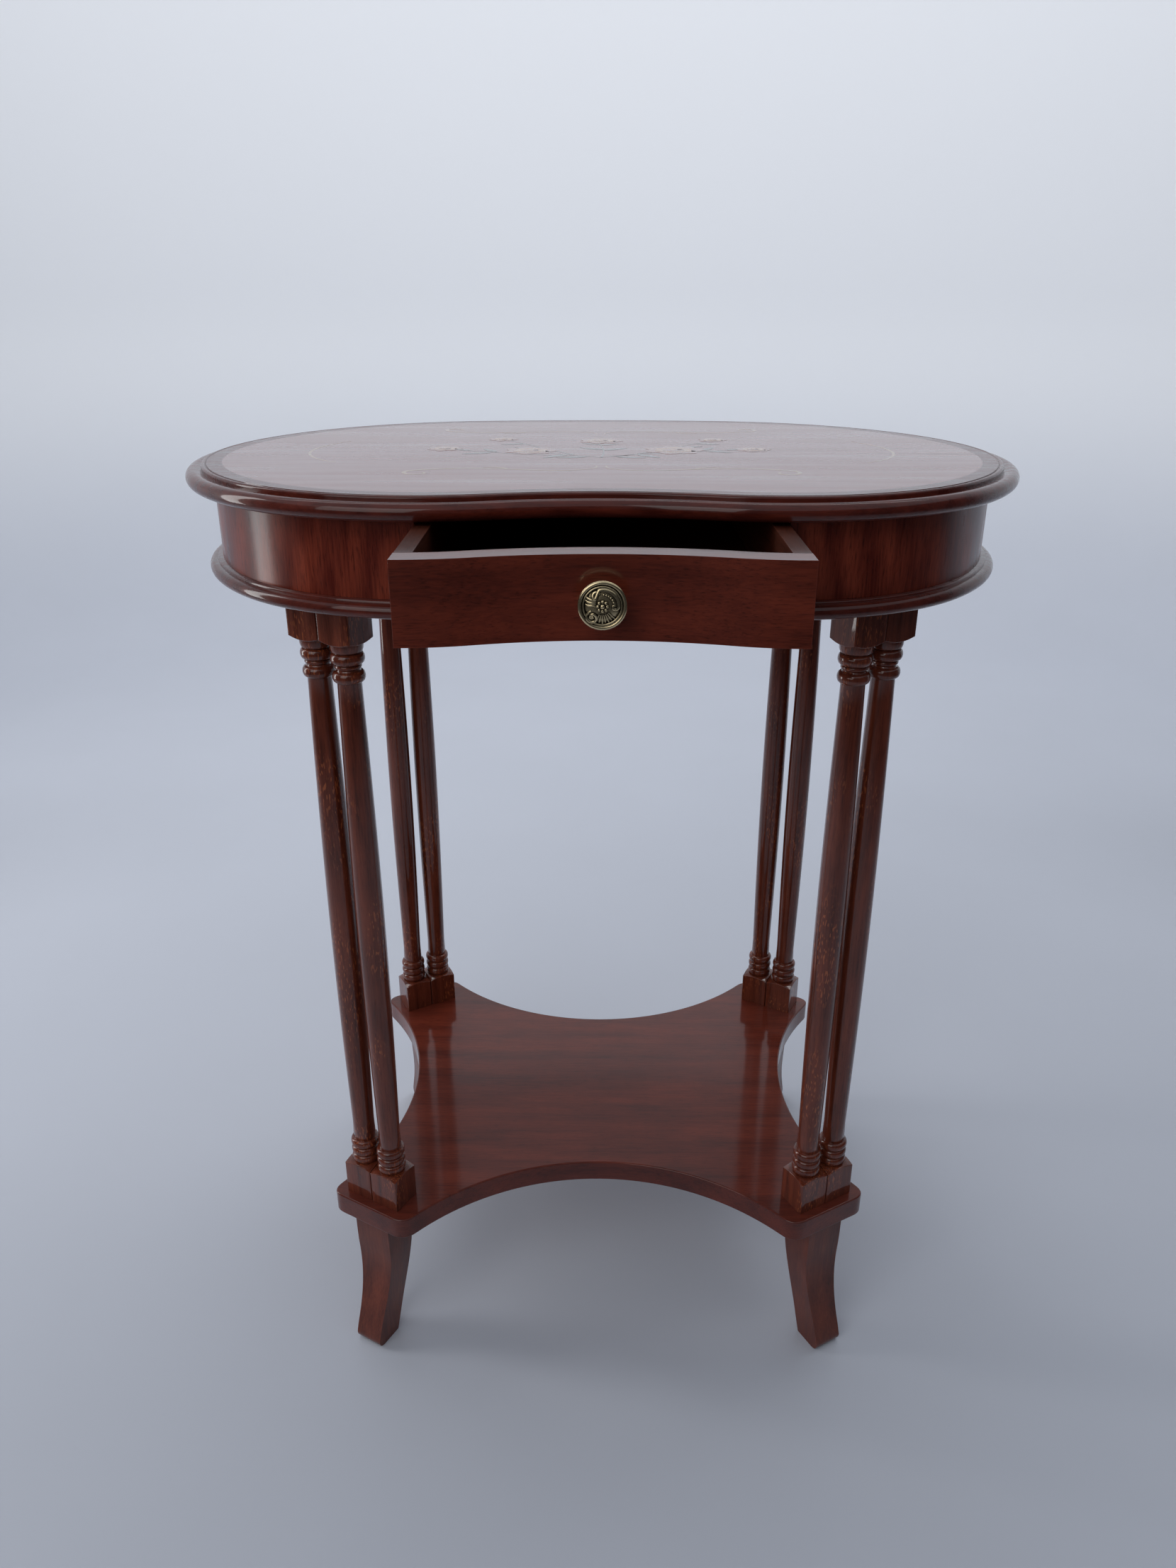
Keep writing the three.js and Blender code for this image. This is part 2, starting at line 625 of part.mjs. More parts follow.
function sabreOutline() {
  const height = shelfUnderside;
  const shape = new THREE.Shape();
  shape.moveTo(LEG_HEEL_REACH, 0);
  shape.lineTo(LEG_TOE_REACH - LEG_TOE_ROUND, 0);
  shape.quadraticCurveTo(LEG_TOE_REACH, 0, LEG_TOE_REACH, LEG_TOE_ROUND);
  shape.bezierCurveTo(
    LEG_TOE_REACH - 4, height * 0.2,
    LEG_WAIST_REACH - 1, height * 0.4,
    LEG_WAIST_REACH, height * 0.7,
  );
  shape.quadraticCurveTo(LEG_WAIST_REACH + 1, height * 0.86, LEG_TOP_REACH, height);
  shape.lineTo(LEG_TOP_BACK, height);
  shape.bezierCurveTo(
    LEG_TOP_BACK + 2, height * 0.66,
    LEG_HEEL_REACH - 16, height * 0.33,
    LEG_HEEL_REACH, 0,
  );
  return shape;
}

const legBlank = new THREE.ExtrudeGeometry(sabreOutline(), {
  depth: LEG_WIDTH,
  bevelEnabled: false,
  curveSegments: 6,
});
legBlank.applyMatrix4(new THREE.Matrix4().makeBasis(
  new THREE.Vector3(0, -1, 0),
  new THREE.Vector3(0, 0, 1),
  new THREE.Vector3(-1, 0, 0),
)).translate(LEG_WIDTH / 2, 0, 0);

// The blank is as wide as the leg's top all the way down, and is tapered to the toe.
const legCorners = legBlank.attributes.position;
for (let index = 0; index < legCorners.count; index += 1) {
  const share = THREE.MathUtils.smoothstep(
    legCorners.getZ(index) / shelfUnderside,
    LEG_TAPER_START,
    LEG_TAPER_END,
  );
  const taper = THREE.MathUtils.lerp(LEG_TOE_WIDTH / LEG_WIDTH, 1, share);
  legCorners.setX(index, legCorners.getX(index) * taper);
}
const leg = cut(legBlank, [legBolt(BORE_CLEARANCE)]);

for (const { name, place } of pairs) {
  addPiece(place, `leg_${name}`, leg, STAINED_BEECH);
  addPiece(place, `leg_bolt_${name}`, legBolt(), STEEL);
}

// ---------------------------------------------------------------- drawer

const drawerBottom = apronBottom + DRAWER_LIFT;
const drawerTop = drawerBottom + drawerHeight;
const faceOffset = -APRON_SETBACK;
const lobeFace = -LOBE_SETBACK - LOBE_RADIUS - faceOffset;
const hollowFace = -FRONT_DEPTH - faceOffset;
const drawerBack = lobeFace + DRAWER_DEPTH;
const sideInner = DRAWER_WIDTH / 2 - DRAWER_SIDE_THICKNESS;
const frontInner = faceOffset - DRAWER_FRONT_THICKNESS;

// Everything behind the drawer's curved face set back by an offset, between two
// heights, out to halfWidth either side and back to yBack.
function drawerPlan(offset, halfWidth, yBack, zBottom, zTop) {
  const yFront = lobeFace - 1;
  const length = yBack - yFront;
  const limit = box(2 * halfWidth, length, zTop - zBottom, 0, yFront + length / 2, zBottom);
  return keepInside(board(kidney(offset), zBottom, zTop), limit);
}

const panelBottom = drawerBottom + DRAWER_BOTTOM_RAISE;
const panelTop = panelBottom + DRAWER_BOTTOM_THICKNESS;
const panel = (clearance) => drawerPlan(
  frontInner + GROOVE_DEPTH - GAP + clearance,
  sideInner + GROOVE_DEPTH - GAP + clearance,
  drawerBack + clearance,
  panelBottom - clearance,
  panelTop + clearance,
);

const knobHeight = (drawerBottom + drawerTop) / 2;
const screwHeadFace = hollowFace + DRAWER_FRONT_THICKNESS;

// Turnings and rods about the knob's axis, measured outwards from the drawer's face.
const onKnobAxis = (geometry) => (
  geometry.rotateX(Math.PI / 2).translate(0, hollowFace, knobHeight)
);
const knobScrew = (clearance = 0) => onKnobAxis(join([
  rod(
    KNOB_SCREW_RADIUS + clearance,
    -DRAWER_FRONT_THICKNESS - 1,
    KNOB_REACH - KNOB_FACE_THICKNESS + clearance,
    0,
    0,
  ),
  rod(
    KNOB_SCREW_HEAD_RADIUS,
    -DRAWER_FRONT_THICKNESS - GAP - SCREW_HEAD_HEIGHT,
    -DRAWER_FRONT_THICKNESS - GAP,
    0,
    0,
  ),
]));

const knobRadius = KNOB_DIAMETER / 2;
const knobBack = KNOB_REACH - KNOB_FACE_THICKNESS;
const knob = onKnobAxis(turned([
  [0, KNOB_SEAT],
  [KNOB_STEM_RADIUS + KNOB_BASE_SPREAD, KNOB_SEAT],
  [KNOB_STEM_RADIUS + KNOB_BASE_SPREAD, KNOB_SEAT + KNOB_BASE_HEIGHT],
  [KNOB_STEM_RADIUS, KNOB_SEAT + KNOB_BASE_HEIGHT + KNOB_BASE_SPREAD],
  [KNOB_STEM_RADIUS, knobBack - 2],
  [knobRadius - 3, knobBack],
  [knobRadius, knobBack + 2],
  [knobRadius, knobBack + 3.4],
  [knobRadius - 1.4, knobBack + 4.8],
  [knobRadius * 0.5, KNOB_REACH - 0.4],
  [0, KNOB_REACH],
], KNOB_SIDES));

const frontCuts = [panel(GAP), knobScrew(BORE_CLEARANCE)];
const frontBlank = drawerPlan(faceOffset, DRAWER_WIDTH / 2, 0, drawerBottom, drawerTop);
const behindFront = board(kidney(frontInner), drawerBottom - 1, drawerTop + 1);

addPiece(drawer, 'drawer_front', cut(frontBlank, [behindFront, ...frontCuts]), MAHOGANY);
for (const [name, side] of [['drawer_side_left', -1], ['drawer_side_right', 1]]) {
  const behindJoint = drawerPlan(frontInner - GAP, DRAWER_WIDTH / 2, drawerBack, drawerBottom, drawerTop);
  const strip = box(
    DRAWER_SIDE_THICKNESS,
    wide,
    drawerHeight,
    side * (sideInner + DRAWER_SIDE_THICKNESS / 2),
    0,
    drawerBottom,
  );
  addPiece(drawer, name, cut(keepInside(strip, behindJoint), [panel(GAP)]), DRAWER_LINING);
}
addPiece(drawer, 'drawer_back', box(
  2 * (sideInner - GAP),
  DRAWER_BACK_THICKNESS,
  drawerTop - DRAWER_BACK_DROP - panelTop - GAP,
  0,
  drawerBack - DRAWER_BACK_THICKNESS / 2,
  panelTop + GAP,
), DRAWER_LINING);
addPiece(drawer, 'drawer_bottom', panel(0), DRAWER_LINING);
addPiece(drawer, 'knob', cut(knob, [knobScrew(BORE_CLEARANCE)]), ANTIQUE_BRASS);
addPiece(drawer, 'knob_screw', knobScrew(), STEEL);

// ---------------------------------------------------------------- drawer guides and stops

const guideFront = crossing(openingHalf + GUIDE_WIDTH, apronInner) + GUIDE_SETBACK;
for (const [name, side] of [['left', -1], ['right', 1]]) {
  addPiece(carcass, `drawer_guide_${name}`, box(
    GUIDE_WIDTH,
    guideLength,
    GUIDE_HEIGHT,
    side * (openingHalf + GUIDE_WIDTH / 2),
    guideFront + guideLength / 2,
    apronBottom,
  ), STAINED_BEECH);
  addPiece(carcass, `drawer_stop_${name}`, box(
    STOP_SIZE,
    STOP_SIZE,
    STOP_HEIGHT,
    side * (sideInner - STOP_SIZE),
    drawerBack + GAP + STOP_SIZE / 2,
    apronBottom,
  ), STAINED_BEECH);
}

// ---------------------------------------------------------------- frame origin

const foremost = hollowFace - KNOB_REACH - DRAWER_OPEN;
const rearmost = BACK_DEPTH + TOP_OVERHANG;
carcass.position.y = -(foremost + rearmost) / 2;

export default group;
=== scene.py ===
"""The finished look of a kidney-shaped side table with one drawer, built round its solid model.

Everything is in metres in the table's own frame: +Z up, the floor at z = 0, the drawer drawn out
towards -Y. The sizes that the solid model already holds are read from its nodes.
"""

import math

import bmesh
import bpy
from mathutils import Matrix, Vector
from mathutils.geometry import interpolate_bezier


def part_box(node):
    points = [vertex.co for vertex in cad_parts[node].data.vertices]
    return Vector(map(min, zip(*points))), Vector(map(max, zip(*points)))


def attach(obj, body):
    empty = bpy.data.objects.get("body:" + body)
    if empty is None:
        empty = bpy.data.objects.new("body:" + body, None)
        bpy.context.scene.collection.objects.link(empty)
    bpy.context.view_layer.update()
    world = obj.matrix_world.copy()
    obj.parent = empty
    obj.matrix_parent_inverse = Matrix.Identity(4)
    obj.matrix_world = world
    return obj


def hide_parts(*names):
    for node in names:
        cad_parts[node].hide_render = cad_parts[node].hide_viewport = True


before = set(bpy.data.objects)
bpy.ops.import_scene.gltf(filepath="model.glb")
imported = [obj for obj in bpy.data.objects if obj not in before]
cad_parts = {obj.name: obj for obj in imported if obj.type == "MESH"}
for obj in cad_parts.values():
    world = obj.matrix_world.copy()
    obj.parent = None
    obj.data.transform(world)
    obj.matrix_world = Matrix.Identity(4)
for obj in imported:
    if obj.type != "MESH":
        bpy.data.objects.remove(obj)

bl_info = {
    "name": "Kidney side table",
    "version": (1, 0, 0),
    "blender": (4, 5, 0),
    "location": "3D View > Sidebar > Side Table",
    "description": "Turned and veneered side table with one drawer, in lacquered mahogany and beech",
    "category": "Object",
}

MM = 0.001
PAIRS = ("front_left", "front_right", "rear_left", "rear_right")
MERGE_DISTANCE = 1e-6


def linear(hex_code):
    """The linear RGB of an sRGB colour written as #rrggbb."""
    shares = [int(hex_code[start:start + 2], 16) / 255 for start in (1, 3, 5)]
    return tuple(
        share / 12.92 if share <= 0.04045 else ((share + 0.055) / 1.055) ** 2.4
        for share in shares
    )


def middle_of(node):
    """The middle of a node's box."""
    low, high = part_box(node)
    return (low + high) / 2


def length(name, default_mm, description):
    """A size in metres that the panel shows as a length, with its default in millimetres."""
    return bpy.props.FloatProperty(
        name=name, description=description, default=default_mm * MM, min=0, unit="LENGTH", precision=4
    )


def setting(name, default, description, unit):
    """A number that the panel shows in its unit."""
    return bpy.props.FloatProperty(
        name=name, description=description, default=default, unit=unit, precision=4
    )


def colour(name, hex_code, description):
    """A colour that the panel shows as a swatch, with its default as #rrggbb."""
    return bpy.props.FloatVectorProperty(
        name=name, description=description, default=linear(hex_code), min=0, max=1, subtype="COLOR"
    )


# The point midway between the four column pairs, which the plan is drawn about
PLAN_MIDDLE = sum((middle_of(f"leg_{pair}") for pair in PAIRS), Vector()) / len(PAIRS)
TOP_UNDER, TOP_FACE = (corner.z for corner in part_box("top_panel"))
APRON_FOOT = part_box("apron_back")[0].z
BASE_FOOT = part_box("base_board")[0].z
SHELF_UNDER, SHELF_FACE = (corner.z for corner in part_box("shelf"))
DRAWER_FOOT, DRAWER_TOP = (corner.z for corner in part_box("drawer_front"))
DRAWER_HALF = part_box("drawer_front")[1].x
DRAWER_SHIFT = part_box("drawer_front")[0].y


# ------------------------------------------------------------------ sizes and colours


class SideTableSizes(bpy.types.PropertyGroup):
    """Sizes of the shapes that the solid model doesn't give by its nodes' boxes."""

    lobe_spread: length("Lobe spread", 122.9, "Middle of the table to the centre of a front lobe")
    lobe_setback: length("Lobe setback", 32, "Plan centre to the centre of a front lobe, forwards")
    lobe_radius: length("Lobe radius", 178.6, "Radius of a front lobe of the veneered field")
    end_spread: length("End spread", 88, "Middle of the table to the centre of a round end")
    front_depth: length("Front depth", 194.2, "Plan centre to the hollow of the front")
    back_depth: length("Back depth", 231.2, "Plan centre to the middle of the back")
    top_overhang: length("Top overhang", 16, "How far the top's moulding stands out from the field")
    band_width: length("Band width", 12, "Moulded band, inwards from the field's edge")
    apron_setback: length("Apron setback", 4.5, "How far the apron stands in from the field's edge")
    apron_thickness: length("Apron thickness", 16, "Thickness of the bent apron")
    base_overhang: length("Base overhang", 6, "How far the base moulding stands out from the field's edge")
    block_size: length("Block size", 28.6, "Side of a column's square blocks")
    lower_block: length("Lower block", 31.8, "Height of a column's lower block")
    upper_block: length("Upper block", 28, "Height of a column's upper block")
    shoulder: length("Shoulder", 3, "Height of the turned shoulder between a block and its beads")
    bead_radius: length("Bead radius", 12.6, "Radius of the turned beads")
    foot_bead: length("Foot bead", 8.2, "Height of each of the three beads at a column's foot")
    cap_turning: length("Cap turning", 30, "Height of the turnings under a column's upper block")
    shaft_radius: length("Shaft radius", 9.1, "Radius of a shaft at its ends")
    shaft_swell: length("Shaft swell", 2.4, "Extra radius at the middle of a shaft")
    shelf_front_waist: length("Shelf front waist", 115.8, "Plan centre to the shelf's front hollow")
    shelf_side_waist: length("Shelf side waist", 190, "Plan centre to the shelf's side hollow")
    shelf_corner_reach: length("Corner reach", 23, "Column pair to the shelf's clipped corner")
    shelf_corner_width: length("Corner width", 84, "Width of the shelf's clipped corner")
    shelf_corner_round: length("Corner round", 14, "How far the corner's rounding reaches")
    leg_width: length("Leg width", 37, "Width of a sabre leg at its top, across its splay")
    leg_toe_width: length("Leg toe width", 27, "Width of a sabre leg at its toe")
    leg_toe: length("Leg toe", 37, "Column pair to the toe of a leg")
    leg_toe_round: length("Leg toe round", 8, "How far the rounding of a toe reaches")
    leg_heel: length("Leg heel", 10, "Column pair to the heel of a leg")
    leg_waist: length("Leg waist", 17, "Column pair to the slimmest front of a leg")
    leg_top: length("Leg top", 18, "Column pair to the front of a leg's top")
    leg_back: length("Leg back", 18, "Column pair to the back of a leg's top")
    front_thickness: length("Drawer front", 19, "Thickness of the drawer's curved front")
    groove: length("Groove", 5, "Depth of the groove that holds the drawer's bottom")
    knob_radius: length("Knob radius", 14.6, "Radius of the knob's face")
    knob_stem: length("Knob stem", 5.5, "Radius of the knob's stem")


class SideTableColours(bpy.types.PropertyGroup):
    """Colours of the woods and metals, and of the stage."""

    mahogany_light: colour("Mahogany light", "#7c3422", "Early wood of the stained mahogany")
    mahogany_dark: colour("Mahogany dark", "#451a13", "Late wood of the stained mahogany")
    veneer_light: colour("Veneer light", "#91402c", "Light bands of the mahogany veneer")
    veneer_dark: colour("Veneer dark", "#561c14", "Dark bands of the mahogany veneer")
    moulding_light: colour("Moulding light", "#6c2c20", "Lighter streaks of the dark mouldings")
    moulding_dark: colour("Moulding dark", "#3e1611", "Main tone of the dark mouldings")
    beech_light: colour("Beech light", "#86402a", "Light streaks of the stained beech")
    beech_dark: colour("Beech dark", "#38140d", "Dark streaks of the stained beech")
    fleck: colour("Fleck", "#c06a3e", "Rays of the beech, which take less stain")
    lining_light: colour("Lining light", "#5b2f22", "Light streaks of the drawer's lining")
    lining_dark: colour("Lining dark", "#38190f", "Dark streaks of the drawer's lining")
    boxwood: colour("Boxwood", "#b08a5c", "Pale wood of the inlaid lines")
    tulipwood: colour("Tulipwood", "#a05a40", "Rosy wood of the inlaid petals")
    satinwood: colour("Satinwood", "#b98450", "Golden wood of the inlaid petals")
    leafwood: colour("Leafwood", "#4a3a1e", "Greenish wood of the inlaid leaves")
    brass: colour("Brass", "#dcc89e", "Rubbed brass of the knob")
    patina: colour("Patina", "#120d09", "Dark patina in the knob's hollows")
    steel: colour("Steel", "#9a9a96", "Zinc-plated screws")
    floor: colour("Floor", "#c8ccd6", "Plain pale floor")
    backdrop: colour("Backdrop", "#eceef2", "Plain white backdrop that the floor curves up into")
    # Painted shade: this grey stands in for the shade of a dark room at the sides and in front.
    shade: colour("Shade", "#484a50", "Grey sides and front of the room")


class SideTableStage(bpy.types.PropertyGroup):
    """The camera, the lights and the floor."""

    camera_x: setting("Camera across", -0.0035, "Camera to the right of the table", "LENGTH")
    camera_distance: setting("Camera distance", 0.9297, "Camera in front of the table's origin", "LENGTH")
    camera_height: setting("Camera height", 0.9228, "Camera above the floor", "LENGTH")
    camera_pitch: setting("Camera pitch", math.radians(23.66), "How far the camera looks down", "ROTATION")
    camera_turn: setting("Camera turn", math.radians(0.43), "How far the camera is turned left", "ROTATION")
    lens: setting("Lens", 26.27, "Focal length in millimetres on a 36 mm sensor", "CAMERA")
    doorway_power: setting("Doorway", 15, "Power of the tall soft light on the left", "POWER")
    wash_power: setting("Backdrop wash", 37, "Power of the light that falls on the backdrop", "POWER")
    fill_power: setting("Fill", 18, "Power of the dim light from the room's front", "POWER")
    sky: setting("Sky", 0.6, "Strength of the even light from all round", "NONE")
    floor_radius: setting("Floor radius", 2.3, "Radius of the flat floor inside its cove", "LENGTH")
    cove: setting("Cove", 0.9, "Radius of the curve from the floor up to the wall", "LENGTH")
    wall_height: setting("Wall height", 2.6, "Height of the backdrop's top", "LENGTH")
    skylight: colour("Skylight", "#dfe6f0", "Tint of the even light from all round")


# ------------------------------------------------------------------ materials


def add(tree, kind, inputs, result, **settings):
    """Adds a node with its settings and gives back its result socket. Each input takes a value or
    another node's socket."""
    made = tree.nodes.new(kind)
    for key, value in settings.items():
        setattr(made, key, value)
    for key, value in inputs.items():
        if isinstance(value, bpy.types.NodeSocket):
            tree.links.new(value, made.inputs[key])
        else:
            made.inputs[key].default_value = value
    return made.outputs[result]


def chosen(context):
    """The sizes and colours that the panel holds."""
    return context.scene.side_table_sizes, context.scene.side_table_colours


def blank_material(name):
    """A new material's node tree and its surface shader."""
    material = bpy.data.materials.new(name)
    material.use_nodes = True
    return material, material.node_tree, material.node_tree.nodes["Principled BSDF"]


def timber(name, light, dark, grain, band=16 * MM, stretch=8, arches=0.0, contrast=0.5, mottle=0.25,
           pores=0.45, fleck=None, roughness=0.3, coat=0.8, gloss=0.09, wear=0.2):
    """A stained and lacquered wood. Its fibres run along grain, x, y or z, and band is the width
    of its growth bands, which arches mixes with the loops of a flat cut. The stain leaves the
    late wood and the pores darker, and the lacquer on top is smooth, so highlights stay sharp."""
    material, tree, shader = blank_material(name)
    place = add(tree, "ShaderNodeTexCoord", {}, "Object")

    # Each noise has a length along the fibres in widths, a turn off them, a width and a detail.
    # Real pores are about 0.2 mm wide, and are drawn 0.8 mm wide so that they show.
    noises = {
        "growth": (stretch, 0, band, 2),
        "strand": (18, 0, 1.5 * MM, 1),
        "lean": (1, 0, 34 * MM, 2),
        "pore": (11, 0, 0.8 * MM, 1),
        "lacquer": (1, 0, 9 * MM, 2),
    }
    # Some noises fade in between two of their values, up to a share of the surface.
    fades = {"lean": (0.38, 0.68, mottle), "pore": (0.56, 0.74, pores)}
    if fleck:
        # The rays are thin dashes, about 1 mm across and five times as long, in scattered patches.
        noises |= {"ray": (4.5, 0.12, 1.1 * MM, 0), "patch": (3, 0, 26 * MM, 1)}
        fades |= {"ray": (0.62, 0.7, 0.45), "patch": (0.5, 0.62, 1)}
    fibres, noise, share = {}, {}, {}
    for part, (times, turn, width, detail) in noises.items():
        scale = [1 / times if axis == grain else 1 for axis in "xyz"]
        fibres[part] = add(
            tree, "ShaderNodeMapping",
            {"Vector": place, "Scale": scale, "Rotation": (turn, turn, 0)}, "Vector",
        )
        noise[part] = add(
            tree, "ShaderNodeTexNoise", {"Vector": fibres[part], "Scale": 1 / width, "Detail": detail}, "Fac"
        )
    for part, (start, end, most) in fades.items():
        share[part] = add(
            tree, "ShaderNodeMapRange",
            {"Value": noise[part], "From Min": start, "From Max": end, "To Max": most}, "Result",
        )

    # The wave texture repeats every 0.314 units at a scale of 1.
    rings = {"Scale": 0.314 / band, "Distortion": 3, "Detail": 2, "Detail Scale": 0.4}
    loops = add(
        tree, "ShaderNodeTexWave", {"Vector": fibres["growth"], **rings}, "Fac",
        wave_type="RINGS", rings_direction="SPHERICAL",
    )
    figure = noise["growth"]
    for portion, other in ((arches, loops), (0.35, noise["strand"])):
        figure = add(
            tree, "ShaderNodeMix", {"Factor": portion, "A": figure, "B": other}, "Result", data_type="FLOAT"
        )
    # A noise stays near 0.5, and the contrast says how soon it turns all light or all dark.
    spread = 0.12 / contrast
    share["early wood"] = add(
        tree, "ShaderNodeMapRange",
        {"Value": figure, "From Min": 0.5 - spread, "From Max": 0.5 + spread}, "Result",
    )

    # Where the true normal and a rounded one differ is an edge, and handling rubs an edge paler.
    rounded = add(tree, "ShaderNodeBevel", {"Radius": 1.0 * MM}, "Normal", samples=4)
    facing = add(tree, "ShaderNodeNewGeometry", {}, "Normal")
    agreement = add(tree, "ShaderNodeVectorMath", {0: rounded, 1: facing}, "Value", operation="DOT_PRODUCT")
    share["edge"] = add(
        tree, "ShaderNodeMapRange",
        {"Value": agreement, "From Min": 0.99, "From Max": 0.86, "To Max": wear}, "Result",
    )

    # The fibres lean to and fro, so soft patches of the figure drink in the light.
    pore_tone = [tone * 0.3 for tone in dark]
    layers = [(share["early wood"], light), (share["lean"], dark), (share["pore"], pore_tone)]
    if fleck:
        flecked = add(
            tree, "ShaderNodeMath", {0: share["ray"], 1: share["patch"]}, "Value", operation="MULTIPLY"
        )
        layers.append((flecked, fleck))
    layers.append((share["edge"], [min(1, tone * 1.8 + 0.01) for tone in light]))
    wood = (*dark, 1)
    for portion, tone in layers:
        wood = add(
            tree, "ShaderNodeMix", {"Factor": portion, "A": wood, "B": (*tone, 1)}, "Result", data_type="RGBA"
        )

    sheen = add(
        tree, "ShaderNodeMapRange",
        {"Value": noise["growth"], "From Min": 0.3, "From Max": 0.7, "To Min": roughness - 0.05,
         "To Max": roughness + 0.08},
        "Result",
    )
    grain_relief = add(
        tree, "ShaderNodeBump",
        {"Height": share["pore"], "Strength": pores * 0.5, "Distance": 0.1 * MM}, "Normal", invert=True,
    )
    lacquer_relief = add(
        tree, "ShaderNodeBump", {"Height": noise["lacquer"], "Strength": 0.05, "Distance": 0.6 * MM}, "Normal"
    )
    for key, socket in (
        ("Base Color", wood), ("Roughness", sheen), ("Normal", grain_relief), ("Coat Normal", lacquer_relief)
    ):
        tree.links.new(socket, shader.inputs[key])
    shader.inputs["IOR"].default_value = 1.2
    shader.inputs["Coat Weight"].default_value = coat
    shader.inputs["Coat Roughness"].default_value = gloss
    return material


def mahogany(colours, grain):
    """Solid mahogany, stained red-brown and lacquered: fine dark pores in a quiet figure."""
    return timber(f"lacquered_mahogany_{grain}", colours.mahogany_light, colours.mahogany_dark, grain,
                  band=20 * MM, stretch=9, contrast=0.5, mottle=0.25, roughness=0.34, coat=0.7)


def sealed_mahogany(colours):
    """The hidden underside: mahogany stained like the rest, sealed and not lacquered."""
    return timber("sealed_mahogany_underside", colours.mahogany_light, colours.mahogany_dark, "x",
                  band=20 * MM, stretch=9, contrast=0.5, mottle=0.25, roughness=0.55, coat=0.1, gloss=0.4,
                  wear=0)


def field_veneer(colours):
    """Sliced mahogany veneer of the top, under a flat gloss lacquer that hides most of its figure."""
    return timber("top_field_veneer", colours.veneer_light, colours.veneer_dark, "x",
                  band=22 * MM, stretch=9, arches=0.15, contrast=0.14, mottle=0.1, pores=0.08, coat=0.9,
                  gloss=0.05, wear=0)


def apron_veneer(colours):
    """Sliced mahogany veneer bent round the apron, with loops from the flat cut and a softer gloss."""
    return timber("bent_apron_veneer", colours.veneer_light, colours.veneer_dark, "z",
                  band=13 * MM, stretch=5, arches=0.3, contrast=0.65, mottle=0.35, pores=0.6, coat=0.35,
                  gloss=0.18, wear=0)


def dark_moulding(colours):
    """Run mouldings, stained darkest: the gloss says more than the grain."""
    return timber("dark_lacquered_moulding", colours.moulding_light, colours.moulding_dark, "x",
                  band=8 * MM, stretch=5, contrast=0.5, pores=0.3, roughness=0.28, coat=0.6, gloss=0.07,
                  wear=0.05)


def stained_beech(colours, grain="z"):
    """Turned beech, dark stained: the hard rays stay orange as short flecks."""
    return timber(f"stained_beech_{grain}", colours.beech_light, colours.beech_dark, grain,
                  band=6 * MM, stretch=16, contrast=0.4, mottle=0.2, pores=0.3, fleck=colours.fleck,
                  roughness=0.32, coat=0.9, gloss=0.06, wear=0.05)


def plain_beech(colours):
    """The legs' beech, sawn so that its rays lie edge-on: the same dark stain and no flecks."""
    return timber("plain_sawn_beech", colours.beech_light, colours.beech_dark, "z",
                  band=12 * MM, stretch=12, contrast=0.35, mottle=0.3, pores=0.25, roughness=0.36, coat=0.6,
                  gloss=0.12, wear=0.15)


def drawer_lining(colours, grain):
    """Hardwood drawer lining, stained and only sealed: a dull satin."""
    return timber(f"sealed_drawer_lining_{grain}", colours.lining_light, colours.lining_dark, grain,
                  band=10 * MM, stretch=16, contrast=0.5, mottle=0.2, roughness=0.48, coat=0.25)


def inlay_wood(name, tone, grain="x"):
    """A thin veneer let into the field under the same lacquer: a fine even grain."""
    return timber(name, tone, [share * 0.6 for share in tone], grain, band=5 * MM, stretch=8,
                  contrast=0.5, pores=0.2, roughness=0.3, coat=1, wear=0)


def antique_brass(colours):
    """Die-cast brass, darkened and then rubbed: bright on the crests, nearly black in the hollows."""
    material, tree, shader = blank_material("antique_brass")
    place = add(tree, "ShaderNodeTexCoord", {}, "Object")
    open_sky = add(tree, "ShaderNodeAmbientOcclusion", {"Distance": 5 * MM}, "AO", samples=8)
    grime = add(tree, "ShaderNodeTexNoise", {"Vector": place, "Scale": 1 / (1.5 * MM), "Detail": 3}, "Fac")
    height = add(tree, "ShaderNodeMath", {0: grime, 1: 0.25, 2: open_sky}, "Value", operation="MULTIPLY_ADD")
    rubbed = add(tree, "ShaderNodeMapRange", {"Value": height, "From Min": 0.8, "From Max": 1.08}, "Result")
    tone = add(
        tree, "ShaderNodeMix",
        {"Factor": rubbed, "A": (*colours.patina, 1), "B": (*colours.brass, 1)}, "Result", data_type="RGBA",
    )
    dull = add(tree, "ShaderNodeMapRange", {"Value": rubbed, "To Min": 0.6, "To Max": 0.2}, "Result")
    pits = add(tree, "ShaderNodeBump", {"Height": height, "Strength": 0.15, "Distance": 0.1 * MM}, "Normal")
    for key, socket in (("Base Color", tone), ("Roughness", dull), ("Normal", pits)):
        tree.links.new(socket, shader.inputs[key])
    shader.inputs["Metallic"].default_value = 1
    return material


def zinc_steel(colours):
    """Zinc-plated steel screws: a grey satin with faint crystal mottling."""
    material, tree, shader = blank_material("zinc_plated_steel")
    place = add(tree, "ShaderNodeTexCoord", {}, "Object")
    mottle = add(tree, "ShaderNodeTexNoise", {"Vector": place, "Scale": 1 / (1.2 * MM), "Detail": 2}, "Fac")
    dim = [share * 0.6 for share in colours.steel]
    tone = add(
        tree, "ShaderNodeMix", {"Factor": mottle, "A": (*dim, 1), "B": (*colours.steel, 1)}, "Result",
        data_type="RGBA",
    )
    dull = add(tree, "ShaderNodeMapRange", {"Value": mottle, "To Min": 0.3, "To Max": 0.5}, "Result")
    tree.links.new(tone, shader.inputs["Base Color"])
    tree.links.new(dull, shader.inputs["Roughness"])
    shader.inputs["Metallic"].default_value = 1
    return material


